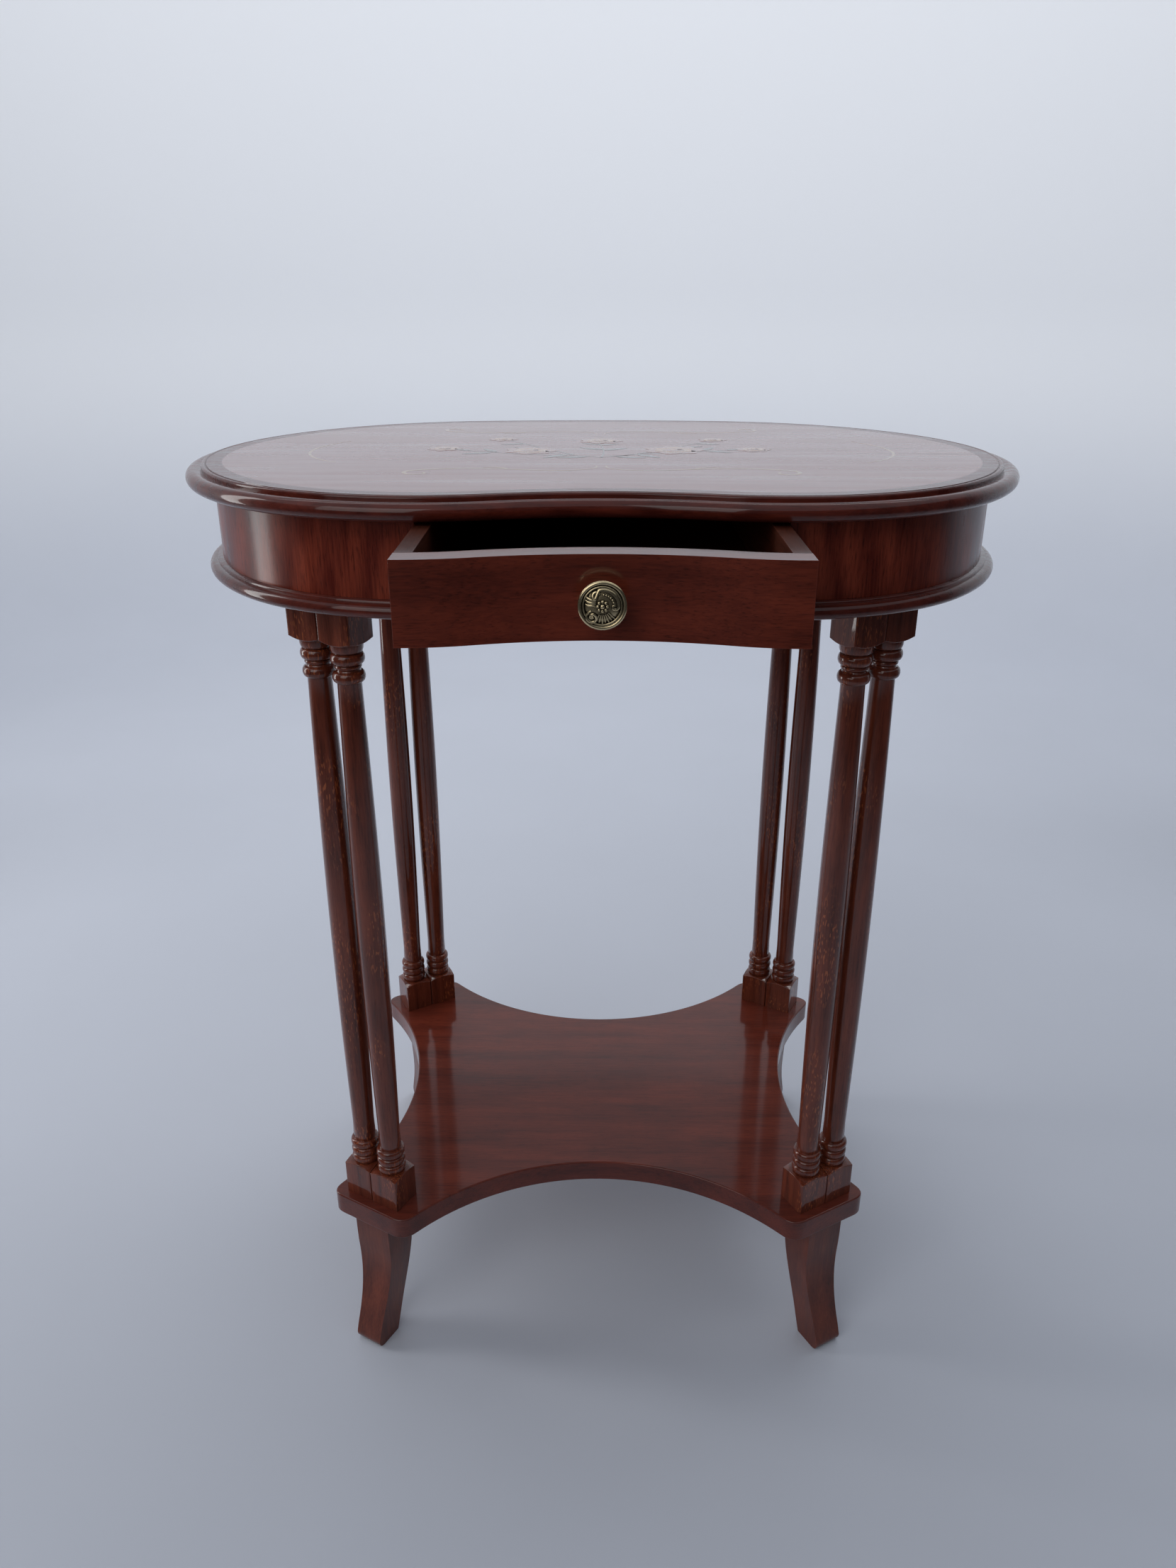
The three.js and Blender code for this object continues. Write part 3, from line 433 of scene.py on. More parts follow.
def painted_floor(colours):
    """A matt painted studio floor, white where it curves up behind, with a faint cloudiness. Painted
    shade: the sides and front of the room are grey like a dark, unlit room, so the gloss keeps its depth."""
    material, tree, shader = blank_material("matt_painted_floor")
    place = add(tree, "ShaderNodeTexCoord", {}, "Object")
    cloud = add(tree, "ShaderNodeTexNoise", {"Vector": place, "Scale": 2.5, "Detail": 3}, "Fac")
    depth = add(tree, "ShaderNodeSeparateXYZ", {"Vector": place}, "Y")
    height = add(tree, "ShaderNodeSeparateXYZ", {"Vector": place}, "Z")
    reach = add(tree, "ShaderNodeVectorMath", {0: place}, "Value", operation="LENGTH")
    # Painted shade: in front and at the sides, away from the backdrop, the paint turns grey where a dark room
    # would be.
    forward, far, high = (
        add(
            tree, "ShaderNodeMapRange", {"Value": value, "From Min": start, "From Max": end}, "Result",
            interpolation_type="SMOOTHSTEP",
        )
        for value, start, end in ((depth, 1.3, 0.1), (reach, 1.0, 2.0), (height, 0.05, 0.8))
    )
    painted_room_shade = add(tree, "ShaderNodeMath", {0: forward, 1: far}, "Value", operation="MULTIPLY")
    paint = (*[share * 0.93 for share in colours.floor], 1)
    for portion, tone in ((cloud, colours.floor), (high, colours.backdrop), (painted_room_shade, colours.shade)):
        paint = add(
            tree, "ShaderNodeMix", {"Factor": portion, "A": paint, "B": (*tone, 1)}, "Result",
            data_type="RGBA",
        )
    tree.links.new(paint, shader.inputs["Base Color"])
    shader.inputs["Roughness"].default_value = 0.75
    return material


# ------------------------------------------------------------------ shaping


def as_object(context, name, bm, material):
    """Turns a bmesh into a smooth-shaded object in the scene, and frees it."""
    mesh = bpy.data.meshes.new(name)
    bm.to_mesh(mesh)
    bm.free()
    mesh.materials.append(material)
    mesh.polygons.foreach_set("use_smooth", [True] * len(mesh.polygons))
    made = bpy.data.objects.new(name, mesh)
    context.scene.collection.objects.link(made)
    return made


def finish_piece(context, name, bm, material, body, nodes, ease=0.0, crease=35):
    """Turns a bmesh into a piece that rides on a body and stands for the given nodes. ease is
    the width of the softened edges, and crease the angle in degrees from which an edge is hard."""
    bmesh.ops.remove_doubles(bm, verts=bm.verts[:], dist=MERGE_DISTANCE)
    bmesh.ops.dissolve_degenerate(bm, dist=MERGE_DISTANCE / 10, edges=bm.edges[:])
    bmesh.ops.recalc_face_normals(bm, faces=bm.faces[:])
    piece = as_object(context, name, bm, material)
    piece.data.set_sharp_from_angle(angle=math.radians(crease))
    if ease:
        soften = piece.modifiers.new("eased edges", "BEVEL")
        soften.width = ease
        soften.segments = 3
        soften.limit_method = "ANGLE"
        soften.angle_limit = math.radians(crease)
        soften.harden_normals = True
    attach(piece, body)
    if nodes:
        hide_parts(*nodes)
    return piece


def everything(bm):
    """All the geometry of a bmesh, as its operators take it."""
    return bm.verts[:] + bm.edges[:] + bm.faces[:]


def slice_off(bm, point, direction):
    """Cuts away what lies beyond a plane and closes the cut."""
    bmesh.ops.bisect_plane(
        bm, geom=everything(bm), dist=MERGE_DISTANCE, plane_co=point, plane_no=direction, clear_outer=True
    )
    open_edges = [edge for edge in bm.edges if edge.is_boundary]
    if open_edges:
        bmesh.ops.holes_fill(bm, edges=open_edges, sides=0)


def kidney_arcs(sizes):
    """The arcs of the right half of the top's outline, from the middle of the front to the
    middle of the back, each as its centre, radius, start and end angle."""
    lobe = Vector((sizes.lobe_spread, -sizes.lobe_setback))
    end = Vector((sizes.end_spread, 0))
    end_radius = sizes.lobe_radius + (lobe - end).length
    reach = sizes.front_depth - sizes.lobe_setback
    gap = sizes.lobe_radius - reach
    hollow_radius = (reach**2 + sizes.lobe_spread**2 - sizes.lobe_radius**2) / (2 * gap)
    hollow = Vector((0, -sizes.front_depth - hollow_radius))
    rise = sizes.back_depth - end_radius
    bow = (sizes.end_spread**2 - rise**2) / (2 * rise)
    back = Vector((0, -bow))
    to_lobe = math.atan2(lobe.y - hollow.y, lobe.x)
    lobe_to_end = math.atan2(lobe.y, lobe.x - end.x)
    end_to_back = math.atan2(bow, sizes.end_spread)
    shift = Vector((0, PLAN_MIDDLE.y))
    return [
        (hollow + shift, hollow_radius, math.pi / 2, to_lobe),
        (lobe + shift, sizes.lobe_radius, to_lobe - math.pi, lobe_to_end),
        (end + shift, end_radius, lobe_to_end, end_to_back),
        (back + shift, sizes.back_depth + bow, end_to_back, math.pi / 2),
    ]


def carry_round(sizes, profile, closed=True, arcs=4, chord=6 * MM):
    """A band: a profile of [offset, height] points carried round the kidney by one spin for each
    arc, and mirrored. An offset is measured outwards from the edge of the veneered field."""
    bm = bmesh.new()
    front = PLAN_MIDDLE.y - sizes.front_depth
    section = [bm.verts.new((0, front - offset, height)) for offset, height in profile]
    following = section[1:] + section[:1] if closed else section[1:]
    part = section + [bm.edges.new(pair) for pair in zip(section, following)]
    for centre, radius, start, end in kidney_arcs(sizes)[:arcs]:
        steps = math.ceil(abs(end - start) * radius / chord)
        part = bmesh.ops.spin(
            bm, geom=part, cent=(*centre, 0), axis=(0, 0, 1), angle=end - start, steps=steps
        )["geom_last"]
    bmesh.ops.mirror(bm, geom=everything(bm), axis="X", merge_dist=MERGE_DISTANCE)
    return bm


def face_depth(sizes, x, offset):
    """The y of the front's curve, moved outwards by offset, at a place across the table."""
    (hollow, hollow_radius, _, turn), (lobe, lobe_radius, _, _) = kidney_arcs(sizes)[:2]
    if abs(x) < (hollow_radius - offset) * math.cos(turn):
        return hollow.y + math.sqrt((hollow_radius - offset) ** 2 - x**2)
    return lobe.y - math.sqrt((lobe_radius + offset) ** 2 - (abs(x) - lobe.x) ** 2)


def plan_board(points, bottom, top):
    """A board with the given plan outline, between two heights."""
    bm = bmesh.new()
    corners = [bm.verts.new((point[0], point[1], bottom)) for point in points]
    face = bm.faces.new(corners)
    raised = bmesh.ops.extrude_face_region(bm, geom=[face])["geom"]
    lifted = [item for item in raised if isinstance(item, bmesh.types.BMVert)]
    bmesh.ops.translate(bm, verts=lifted, vec=(0, 0, top - bottom))
    return bm


def turn_on_lathe(profile, steps=48):
    """A turning about the z axis, from [radius, height] points that start and end on it."""
    bm = bmesh.new()
    line = [bm.verts.new((radius, 0, height)) for radius, height in profile]
    edges = [bm.edges.new(pair) for pair in zip(line, line[1:])]
    bmesh.ops.spin(
        bm, geom=line + edges, cent=(0, 0, 0), axis=(0, 0, 1), angle=2 * math.pi, steps=steps, use_merge=True
    )
    bmesh.ops.remove_doubles(bm, verts=bm.verts[:], dist=MERGE_DISTANCE)
    bmesh.ops.recalc_face_normals(bm, faces=bm.faces[:])
    return bm


def arc(centre, radius, start, end, steps):
    """Points on an arc, with its angles in degrees."""
    angles = [math.radians(start + (end - start) * step / steps) for step in range(steps + 1)]
    return [(centre[0] + radius * math.cos(angle), centre[1] + radius * math.sin(angle)) for angle in angles]


def tube(points, radii):
    """A round bar along a smooth line of points, with its radius at each one, as a bmesh."""
    curve = bpy.data.curves.new("line", "CURVE")
    curve.dimensions = "3D"
    curve.bevel_depth = 1
    curve.bevel_resolution = 2
    curve.resolution_u = 4
    curve.use_fill_caps = True
    spline = curve.splines.new("NURBS")
    spline.points.add(len(points) - 1)
    for knot, point, radius in zip(spline.points, points, radii):
        knot.co = (*point, 1)
        knot.radius = radius
    spline.order_u = 4
    spline.use_endpoint_u = True
    holder = bpy.data.objects.new("line", curve)
    mesh = bpy.data.meshes.new_from_object(holder)
    bm = bmesh.new()
    bm.from_mesh(mesh)
    bpy.data.objects.remove(holder)
    bpy.data.curves.remove(curve)
    bpy.data.meshes.remove(mesh)
    bmesh.ops.remove_doubles(bm, verts=bm.verts[:], dist=MERGE_DISTANCE)
    return bm


def gather(bm, other):
    """Adds another bmesh's geometry to a bmesh and frees it."""
    mesh = bpy.data.meshes.new("part")
    other.to_mesh(mesh)
    other.free()
    bm.from_mesh(mesh)
    bpy.data.meshes.remove(mesh)


# ------------------------------------------------------------------ top


def make_top(context):
    """The veneered field, and the moulded band round it: a bead, a step and a bullnose."""
    sizes, colours = chosen(context)
    field_edge = -sizes.band_width
    field = carry_round(sizes, [(field_edge, TOP_UNDER), (field_edge, TOP_FACE)], closed=False)
    bmesh.ops.holes_fill(field, edges=[edge for edge in field.edges if edge.is_boundary], sides=0)
    finish_piece(
        context, "top_field", field, field_veneer(colours), "table", ["top_panel"]
    )

    nose_foot = TOP_UNDER + 1 * MM
    nose_radius = (TOP_FACE - 3 * MM - nose_foot) / 2
    nose_middle = (sizes.top_overhang - nose_radius, nose_foot + nose_radius)
    bead_radius = 1.9 * MM
    profile = [
        (field_edge, TOP_UNDER),
        (field_edge, TOP_FACE),
        (-0.4 * MM, TOP_FACE),
        (0, TOP_FACE - 0.9 * MM),
        *arc((2 * MM, TOP_FACE - bead_radius), bead_radius, 150, -20, 8),
        (3.9 * MM, TOP_FACE - 4 * MM),
        *arc(nose_middle, nose_radius, 105, -90, 16),
        (nose_middle[0] - 4 * MM, TOP_UNDER),
    ]
    edge = carry_round(sizes, profile)
    finish_piece(
        context, "top_edge_run", edge, dark_moulding(colours), "table", ["top_edge_moulding"],
        crease=40,
    )


# ------------------------------------------------------------------ inlay


# The inlay stands a hair proud of the field, in thin layers, so that no two faces share a plane.
INLAY_LIFT = 0.06 * MM
INLAY_STEP = 0.03 * MM
INLAY_THICKNESS = 0.4 * MM


def petal(bm, root, angle, size, width, layer, pointed=False):
    """A flat petal, or a pointed leaf, on the field, from its root outwards, at its own layer."""
    verts = bmesh.ops.create_circle(bm, cap_ends=True, segments=20, radius=0.5)["verts"]
    for vert in verts:
        share = vert.co.x + 0.5
        if pointed:
            vert.co.y *= width * (0.35 + 0.65 * max(0, 1 - share) ** 0.7)
        else:
            vert.co.y *= width * (0.6 + 1.6 * share * (1 - share))
        vert.co.x = share * size
    height = TOP_FACE + INLAY_LIFT + layer * INLAY_STEP
    place = Matrix.Translation((root[0], root[1], height)) @ Matrix.Rotation(angle, 4, "Z")
    bmesh.ops.transform(bm, matrix=place, verts=verts)


def flower(bm, centre, radius, petals, layer, turn=0.0):
    """A ring of petals round a centre, wide enough to overlap, on two layers in turn."""
    root_reach = radius * 0.12
    for index in range(petals):
        angle = turn + 2 * math.pi * index / petals
        root = (centre[0] + root_reach * math.cos(angle), centre[1] + root_reach * math.sin(angle))
        petal(bm, root, angle, radius * 0.9, radius * 5.52 / petals, layer + (index % 2) * 0.5)


def sink_faces(bm):
    """Gives every flat face of a bmesh its thickness, down into the field."""
    sunk = bmesh.ops.extrude_face_region(bm, geom=bm.faces[:])["geom"]
    verts = [item for item in sunk if isinstance(item, bmesh.types.BMVert)]
    bmesh.ops.translate(bm, verts=verts, vec=(0, 0, -INLAY_THICKNESS))


def inlaid_line(points, widths):
    """A line let into the field: a bar along it, planed off just above the surface."""
    bm = tube([(x, y, TOP_FACE) for x, y in points], [width / 2 for width in widths])
    slice_off(bm, (0, 0, TOP_FACE + INLAY_LIFT), (0, 0, 1))
    return bm


def on_top(points):
    """Plan points in millimetres from the plan centre, as points of the table's frame."""
    return [(x * MM, y * MM + PLAN_MIDDLE.y) for x, y in points]


def curl(centre, radius, start, turns, steps, shrink):
    """A spiral that winds in until shrink times its radius is left. Negative turns wind clockwise."""
    made = []
    for step in range(steps + 1):
        share = step / steps
        reach = radius * (1 - share * (1 - shrink))
        angle = start + 2 * math.pi * turns * share
        made.append((centre[0] + reach * math.cos(angle), centre[1] + reach * math.sin(angle)))
    return made


def make_inlay(context):
    """Marquetry of a general floral kind: a mirrored scroll before and behind, and a spray of
    flowers between them. Each piece is its own wood, let in flush."""
    colours = context.scene.side_table_colours
    lines = bmesh.new()
    hook = curl((134, -114), 13, math.radians(70), -0.8, 10, 0.3)
    scroll = [(4, -80), (2, -88), (10, -97), (26, -103), (50, -101), (78, -94), (104, -91), (126, -97), *hook]
    last = len(scroll) - 1
    scroll_widths = [1.2 + 2.0 * math.sin(math.pi * index / last) for index in range(len(scroll))]
    spur = [(70, -95), (74, -87), (83, -84), (88, -88)]
    bow = [(205, -62), (222, -48), (236, -22), (240, 10), (234, 42), (218, 66)]
    for side in (-1, 1):
        for turned, shift in ((1, 0), (-1, 36)):
            for way, widths in ((scroll, scroll_widths), (spur, (2.4, 2.2, 1.6, 0.8))):
                placed = on_top([(side * x, turned * y + shift) for x, y in way])
                gather(lines, inlaid_line(placed, [width * MM for width in widths]))
        placed = on_top([(side * x, y) for x, y in bow])
        gather(lines, inlaid_line(placed, [width * MM for width in (0.9, 1.8, 2.4, 2.4, 1.8, 0.9)]))
    finish_piece(context, "inlay_scrolls", lines, inlay_wood("boxwood_inlay", colours.boxwood), "table", [])

    stems = bmesh.new()
    for way in (
        ((0, -34), (22, -22), (48, -2), (62, 12)),
        ((0, -34), (-20, -24), (-46, -8), (-62, 8)),
        ((8, -28), (40, -10), (84, 6), (126, 12)),
        ((30, -12), (60, 24), (84, 52), (98, 74)),
        ((-10, -30), (-50, -22), (-92, -6), (-128, 16)),
        ((-22, -20), (-46, 18), (-66, 52), (-84, 78)),
        ((0, -34), (4, -4), (2, 34), (-4, 66)),
    ):
        gather(stems, inlaid_line(on_top(way), [1.8 * MM, 1.6 * MM, 1.3 * MM, 1.0 * MM]))
    finish_piece(context, "inlay_stems", stems, inlay_wood("stem_inlay", colours.leafwood), "table", [])

    leaves = bmesh.new()
    for x, y, degrees, size in (
        (30, -16, -50, 26), (52, 2, -42, 22), (86, 6, -30, 24), (84, 8, 62, 22), (62, 28, 8, 24),
        (82, 50, -12, 20), (-28, -18, 226, 26), (-52, -2, 214, 22), (-90, -6, 200, 24), (-86, -2, 122, 22),
        (-48, 22, 176, 24), (-66, 50, 196, 20), (3, 8, 38, 24), (2, 12, 146, 24), (0, 40, 30, 18),
        (0, 44, 152, 18), (104, 10, 30, 18), (-108, 6, 150, 18), (12, -30, -14, 24), (-12, -30, 194, 24),
    ):
        root = on_top([(x, y)])[0]
        petal(leaves, root, math.radians(degrees), size * MM, size * 0.42 * MM, 1, pointed=True)
    sink_faces(leaves)
    wood = inlay_wood("leaf_inlay", colours.leafwood, "y")
    finish_piece(context, "inlay_leaves", leaves, wood, "table", [])

    rosy, golden = bmesh.new(), bmesh.new()
    for x, y, radius in (
        (60, 10, 25), (-58, 6, 22), (0, 70, 19), (126, 14, 15), (-130, 18, 15), (98, 76, 13), (-86, 80, 13)
    ):
        centre = on_top([(x, y)])[0]
        flower(rosy, centre, radius * MM, 7, 2)
        flower(golden, centre, radius * 0.66 * MM, 6, 4, turn=0.4)
        flower(rosy, centre, radius * 0.36 * MM, 5, 6, turn=0.9)
        heart = bmesh.ops.create_circle(golden, cap_ends=True, segments=14, radius=radius * 0.12 * MM)
        raised = (*centre, TOP_FACE + INLAY_LIFT + 8 * INLAY_STEP)
        bmesh.ops.translate(golden, verts=heart["verts"], vec=raised)
    sink_faces(rosy)
    sink_faces(golden)
    for name, petals, wood in (
        ("inlay_outer_petals", rosy, inlay_wood("tulipwood_inlay", colours.tulipwood)),
        ("inlay_inner_petals", golden, inlay_wood("satinwood_inlay", colours.satinwood, "y")),
    ):
        finish_piece(context, name, petals, wood, "table", [])


# ------------------------------------------------------------------ apron and base


def make_apron(context):
    """The bent and veneered apron: two ends that stop at the drawer's opening, and the back."""
    sizes, colours = chosen(context)
    outer = -sizes.apron_setback
    inner = outer - sizes.apron_thickness
    profile = [(inner, APRON_FOOT), (inner, TOP_UNDER), (outer, TOP_UNDER), (outer, APRON_FOOT)]
    finish = apron_veneer(colours)
    for end, direction in (("left", 1), ("right", -1)):
        low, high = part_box(f"apron_{end}")
        stop = high.x if direction > 0 else low.x
        band = carry_round(sizes, profile)
        slice_off(band, (stop, 0, 0), (direction, 0, 0))
        finish_piece(
            context, f"apron_{end}_bent", band, finish, "table", [f"apron_{end}"],
            ease=0.3 * MM,
        )
    low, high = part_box("apron_back")
    band = carry_round(sizes, profile)
    slice_off(band, (high.x, 0, 0), (1, 0, 0))
    slice_off(band, (low.x, 0, 0), (-1, 0, 0))
    slice_off(band, (0, PLAN_MIDDLE.y, 0), (0, -1, 0))
    finish_piece(
        context, "apron_back_bent", band, finish, "table", ["apron_back"], ease=0.3 * MM
    )


def make_base(context):
    """The board under the drawer, and its moulding: a small step over a dark half round."""
    sizes, colours = chosen(context)
    edge = -sizes.apron_setback - sizes.apron_thickness - 4 * MM
    board = carry_round(sizes, [(edge, BASE_FOOT), (edge, APRON_FOOT)], closed=False)
    bmesh.ops.holes_fill(board, edges=[item for item in board.edges if item.is_boundary], sides=0)
    finish_piece(context, "base_panel", board, sealed_mahogany(colours), "table", ["base_board"])

    step = -sizes.apron_setback + 4 * MM
    drop = 1.6 * MM
    radius = (APRON_FOOT - drop - BASE_FOOT) / 2
    profile = [
        (edge, BASE_FOOT),
        (edge, APRON_FOOT),
        (step - 0.6 * MM, APRON_FOOT),
        (step, APRON_FOOT - 0.5 * MM),
        (step + 0.2 * MM, APRON_FOOT - drop),
        *arc((sizes.base_overhang - radius, BASE_FOOT + radius), radius, 90, -90, 14),
    ]
    finish_piece(
        context, "base_edge_run", carry_round(sizes, profile), dark_moulding(colours), "table",
        ["base_edge_moulding"], crease=40,
    )


# ------------------------------------------------------------------ columns


def bead(radius, bottom, height, steps=8):
    """A turned bead, as [radius, height] points upwards: an arch on a narrower root."""
    depth = height * 0.36
    made = []
    for step in range(steps + 1):
        angle = math.pi * step / steps
        level = bottom + height * (1 - math.cos(angle)) / 2
        made.append((radius - (1 - math.sin(angle) ** 0.8) * depth, level))
    return made


def column_profile(sizes, foot, top):
    """A whole column as it leaves the lathe: its blocks are still round and too fat."""
    fat = sizes.block_size * math.sqrt(0.5)
    half = sizes.block_size / 2
    block_top = foot + sizes.lower_block
    cap_foot = top - sizes.upper_block
    shaft_foot = block_top + sizes.shoulder + 3 * sizes.foot_bead
    shaft_top = cap_foot - sizes.shoulder - sizes.cap_turning
    profile = [(0, foot), (fat + 2 * MM, foot)]
    rise = sizes.shoulder
    profile += [
        (fat + 0.4 * MM, block_top - 0.2 * MM),
        (fat - 2 * MM, block_top + 0.25 * rise),
        (half + 1.6 * MM, block_top + 0.62 * rise),
        (half - 0.8 * MM, block_top + 0.92 * rise),
        (sizes.bead_radius - 2.2 * MM, block_top + rise),
    ]
    for course in range(3):
        profile += bead(sizes.bead_radius, block_top + rise + course * sizes.foot_bead, sizes.foot_bead)
    profile.append((sizes.shaft_radius + 0.9 * MM, shaft_foot + 0.6 * MM))
    steps = 24
    for step in range(1, steps):
        share = step / steps
        radius = sizes.shaft_radius + sizes.shaft_swell * math.sin(math.pi * share)
        profile.append((radius, shaft_foot + (shaft_top - shaft_foot) * share))
    profile.append((sizes.shaft_radius, shaft_top))
    profile += bead(sizes.bead_radius - 0.3 * MM, shaft_top + 0.4 * MM, 8.6 * MM)
    profile.append((sizes.shaft_radius - 0.5 * MM, shaft_top + 10.2 * MM))
    profile += bead(sizes.shaft_radius + 1.1 * MM, shaft_top + 11 * MM, 3 * MM, 5)
    profile += bead(sizes.bead_radius + 0.2 * MM, shaft_top + 14.4 * MM, 8.6 * MM)
    profile += [
        (sizes.bead_radius - 1 * MM, shaft_top + 24 * MM),
        (sizes.bead_radius - 0.2 * MM, shaft_top + 26.5 * MM),
        (sizes.bead_radius, cap_foot - rise),
        (half - 0.8 * MM, cap_foot - 0.92 * rise),
        (half + 1.6 * MM, cap_foot - 0.62 * rise),
        (fat - 2 * MM, cap_foot - 0.25 * rise),
        (fat + 0.4 * MM, cap_foot + 0.2 * MM),
        (fat + 2 * MM, top),
        (0, top),
    ]
    return profile


def pair_frame(pair):
    """Where a column pair stands: x runs along the pair from left to right, -y points outwards."""
    inner, outer = (middle_of(f"cap_screw_{pair}_{which}") for which in ("inner", "outer"))
    middle = (inner + outer) / 2
    outwards = Vector((middle.x, middle.y - PLAN_MIDDLE.y, 0))
    along = (inner - outer).normalized()
    across = Vector((-along.y, along.x, 0))
    if across.dot(outwards) > 0:
        along, across = -along, -across
    turn = Matrix((along, across, Vector((0, 0, 1)))).transposed().to_4x4()
    return Matrix.Translation((middle.x, middle.y, 0)) @ turn


def make_columns(context):
    """Eight columns, each turned from a square blank that is left square at both ends."""
    sizes, colours = chosen(context)
    finish = stained_beech(colours)
    half = sizes.block_size / 2
    for pair in PAIRS:
        for which in ("inner", "outer"):
            node = f"column_{pair}_{which}"
            axis = middle_of(f"cap_screw_{pair}_{which}")
            bm = turn_on_lathe(column_profile(sizes, SHELF_FACE, BASE_FOOT))
            for direction in ((1, 0, 0), (-1, 0, 0), (0, 1, 0), (0, -1, 0)):
                slice_off(bm, Vector(direction) * half, direction)
            arrises = [
                edge for edge in bm.edges
                if all(abs(abs(vert.co[way]) - half) < 0.01 * MM for vert in edge.verts for way in (0, 1))
            ]
            bmesh.ops.bevel(bm, geom=arrises, offset=1.1 * MM, segments=3, profile=0.5, affect="EDGES")
            place = pair_frame(pair)
            place.translation = (axis.x, axis.y, 0)
            bmesh.ops.transform(bm, matrix=place, verts=bm.verts[:])
            finish_piece(
                context, f"{node}_turned", bm, finish, "table", [node], ease=0.35 * MM,
                crease=42,
            )


# ------------------------------------------------------------------ shelf and legs


def rounded_corner(before, corner, after, steps=8):
    """A smooth corner between two points, pulled towards the corner point."""
    pull = 2 / 3
    return interpolate_bezier(before, before.lerp(corner, pull), after.lerp(corner, pull), after, steps + 1)


def hollow_edge(waist, end, half_chord, trim, steps=24):
    """Half of a hollow, from its middle at [waist, 0] to its trimmed end near [end, half_chord]."""
    depth = end - waist
    radius = (half_chord**2 + depth**2) / (2 * depth)
    span = math.degrees(math.asin(half_chord / radius) - trim / radius)
    return [Vector(point) for point in arc((waist + radius, 0), radius, 180, 180 - span, steps)]


def shelf_outline(sizes):
    """The shelf's plan: four hollows between four clipped and rounded corners."""
    place = pair_frame("rear_right")
    away = -Vector(place.col[1][:2])
    centre = Vector((place.translation.x, place.translation.y - PLAN_MIDDLE.y))
    across = Vector((-away.y, away.x))
    face = centre + away * sizes.shelf_corner_reach
    side_end = face - across * sizes.shelf_corner_width / 2
    back_end = face + across * sizes.shelf_corner_width / 2
    trim = sizes.shelf_corner_round
    side = hollow_edge(sizes.shelf_side_waist, side_end.x, side_end.y, trim)
    back = hollow_edge(sizes.shelf_front_waist, back_end.y, back_end.x, trim)
    back = [Vector((y, x)) for x, y in back][::-1]
    quarter = [
        *side[:-1],
        *rounded_corner(side[-1], side_end, side_end + across * trim),
        *rounded_corner(back_end - across * trim, back_end, back[0]),
        *back[1:],
    ]
    turns = (
        quarter,
        [Vector((-x, y)) for x, y in quarter][::-1][1:],
        [Vector((-x, -y)) for x, y in quarter][1:],
        [Vector((x, -y)) for x, y in quarter][::-1][1:-1],
    )
    return [(point.x, point.y + PLAN_MIDDLE.y) for turn in turns for point in turn]


def make_shelf(context):
    """The shelf, with its edges eased by hand."""
    sizes, colours = chosen(context)
    board = plan_board(shelf_outline(sizes), SHELF_UNDER, SHELF_FACE)
    finish_piece(
        context, "shelf_board", board, mahogany(colours, "x"), "table", ["shelf"],
        ease=1.4 * MM, crease=50,
    )


def smooth_step(share):
    """Rises from 0 to 1 with level ends, and stays there outside them."""
    share = min(1, max(0, share))
    return share * share * (3 - 2 * share)


# A leg widens from its toe to its top between these shares of its height.
LEG_TAPER_START = 0.15
LEG_TAPER_END = 0.81


def sabre_leg(sizes, height):
    """A sabre leg, lofted through level sections. x runs across it, -y outwards and z up."""
    toe_round, waist = sizes.leg_toe_round, sizes.leg_waist
    toe = rounded_corner(
        Vector((sizes.leg_toe - toe_round, 0)), Vector((sizes.leg_toe, 0)), Vector((sizes.leg_toe, toe_round))
    )
    shin = interpolate_bezier(
        toe[-1], Vector((sizes.leg_toe - 4 * MM, height * 0.2)),
        Vector((waist - 1 * MM, height * 0.4)), Vector((waist, height * 0.7)), 20,
    )
    crest = rounded_corner(shin[-1], Vector((waist + 1 * MM, height * 0.86)), Vector((sizes.leg_top, height)))
    front = [*toe, *shin[1:], *crest[1:]]
    back = interpolate_bezier(
        Vector((sizes.leg_heel, 0)), Vector((sizes.leg_heel - 16 * MM, height * 0.33)),
        Vector((2 * MM - sizes.leg_back, height * 0.66)), Vector((-sizes.leg_back, height)), 40,
    )

    def reach_at(line, level):
        """How far out a line of [outwards, up] points is at a level."""
        for below, above in zip(line, line[1:]):
            if above.y >= level:
                return below.lerp(above, (level - below.y) / (above.y - below.y)).x
        return line[-1].x

    bm = bmesh.new()
    lower = None
    for level in [point.y for point in front]:
        share = smooth_step((level / height - LEG_TAPER_START) / (LEG_TAPER_END - LEG_TAPER_START))
        half = (sizes.leg_toe_width + (sizes.leg_width - sizes.leg_toe_width) * share) / 2
        outer, inner = reach_at(front, level), reach_at(back, level)
        corners = ((-half, -outer), (half, -outer), (half, -inner), (-half, -inner))
        section = [bm.verts.new((x, y, level)) for x, y in corners]
        upper = [bm.edges.new(pair) for pair in zip(section, section[1:] + section[:1])]
        if lower:
            bmesh.ops.bridge_loops(bm, edges=lower + upper)
        lower = upper
    bmesh.ops.holes_fill(bm, edges=[edge for edge in bm.edges if edge.is_boundary], sides=0)
    return bm


def make_legs(context):
    """Four sabre legs, splayed outwards on the diagonal of the shelf's corners."""
    sizes, colours = chosen(context)
    finish = plain_beech(colours)
    for pair in PAIRS:
        bm = sabre_leg(sizes, SHELF_UNDER)
        bmesh.ops.transform(bm, matrix=pair_frame(pair), verts=bm.verts[:])
        finish_piece(
            context, f"leg_{pair}_shaped", bm, finish, "table", [f"leg_{pair}"],
            ease=1.3 * MM, crease=40,
        )


# ------------------------------------------------------------------ drawer


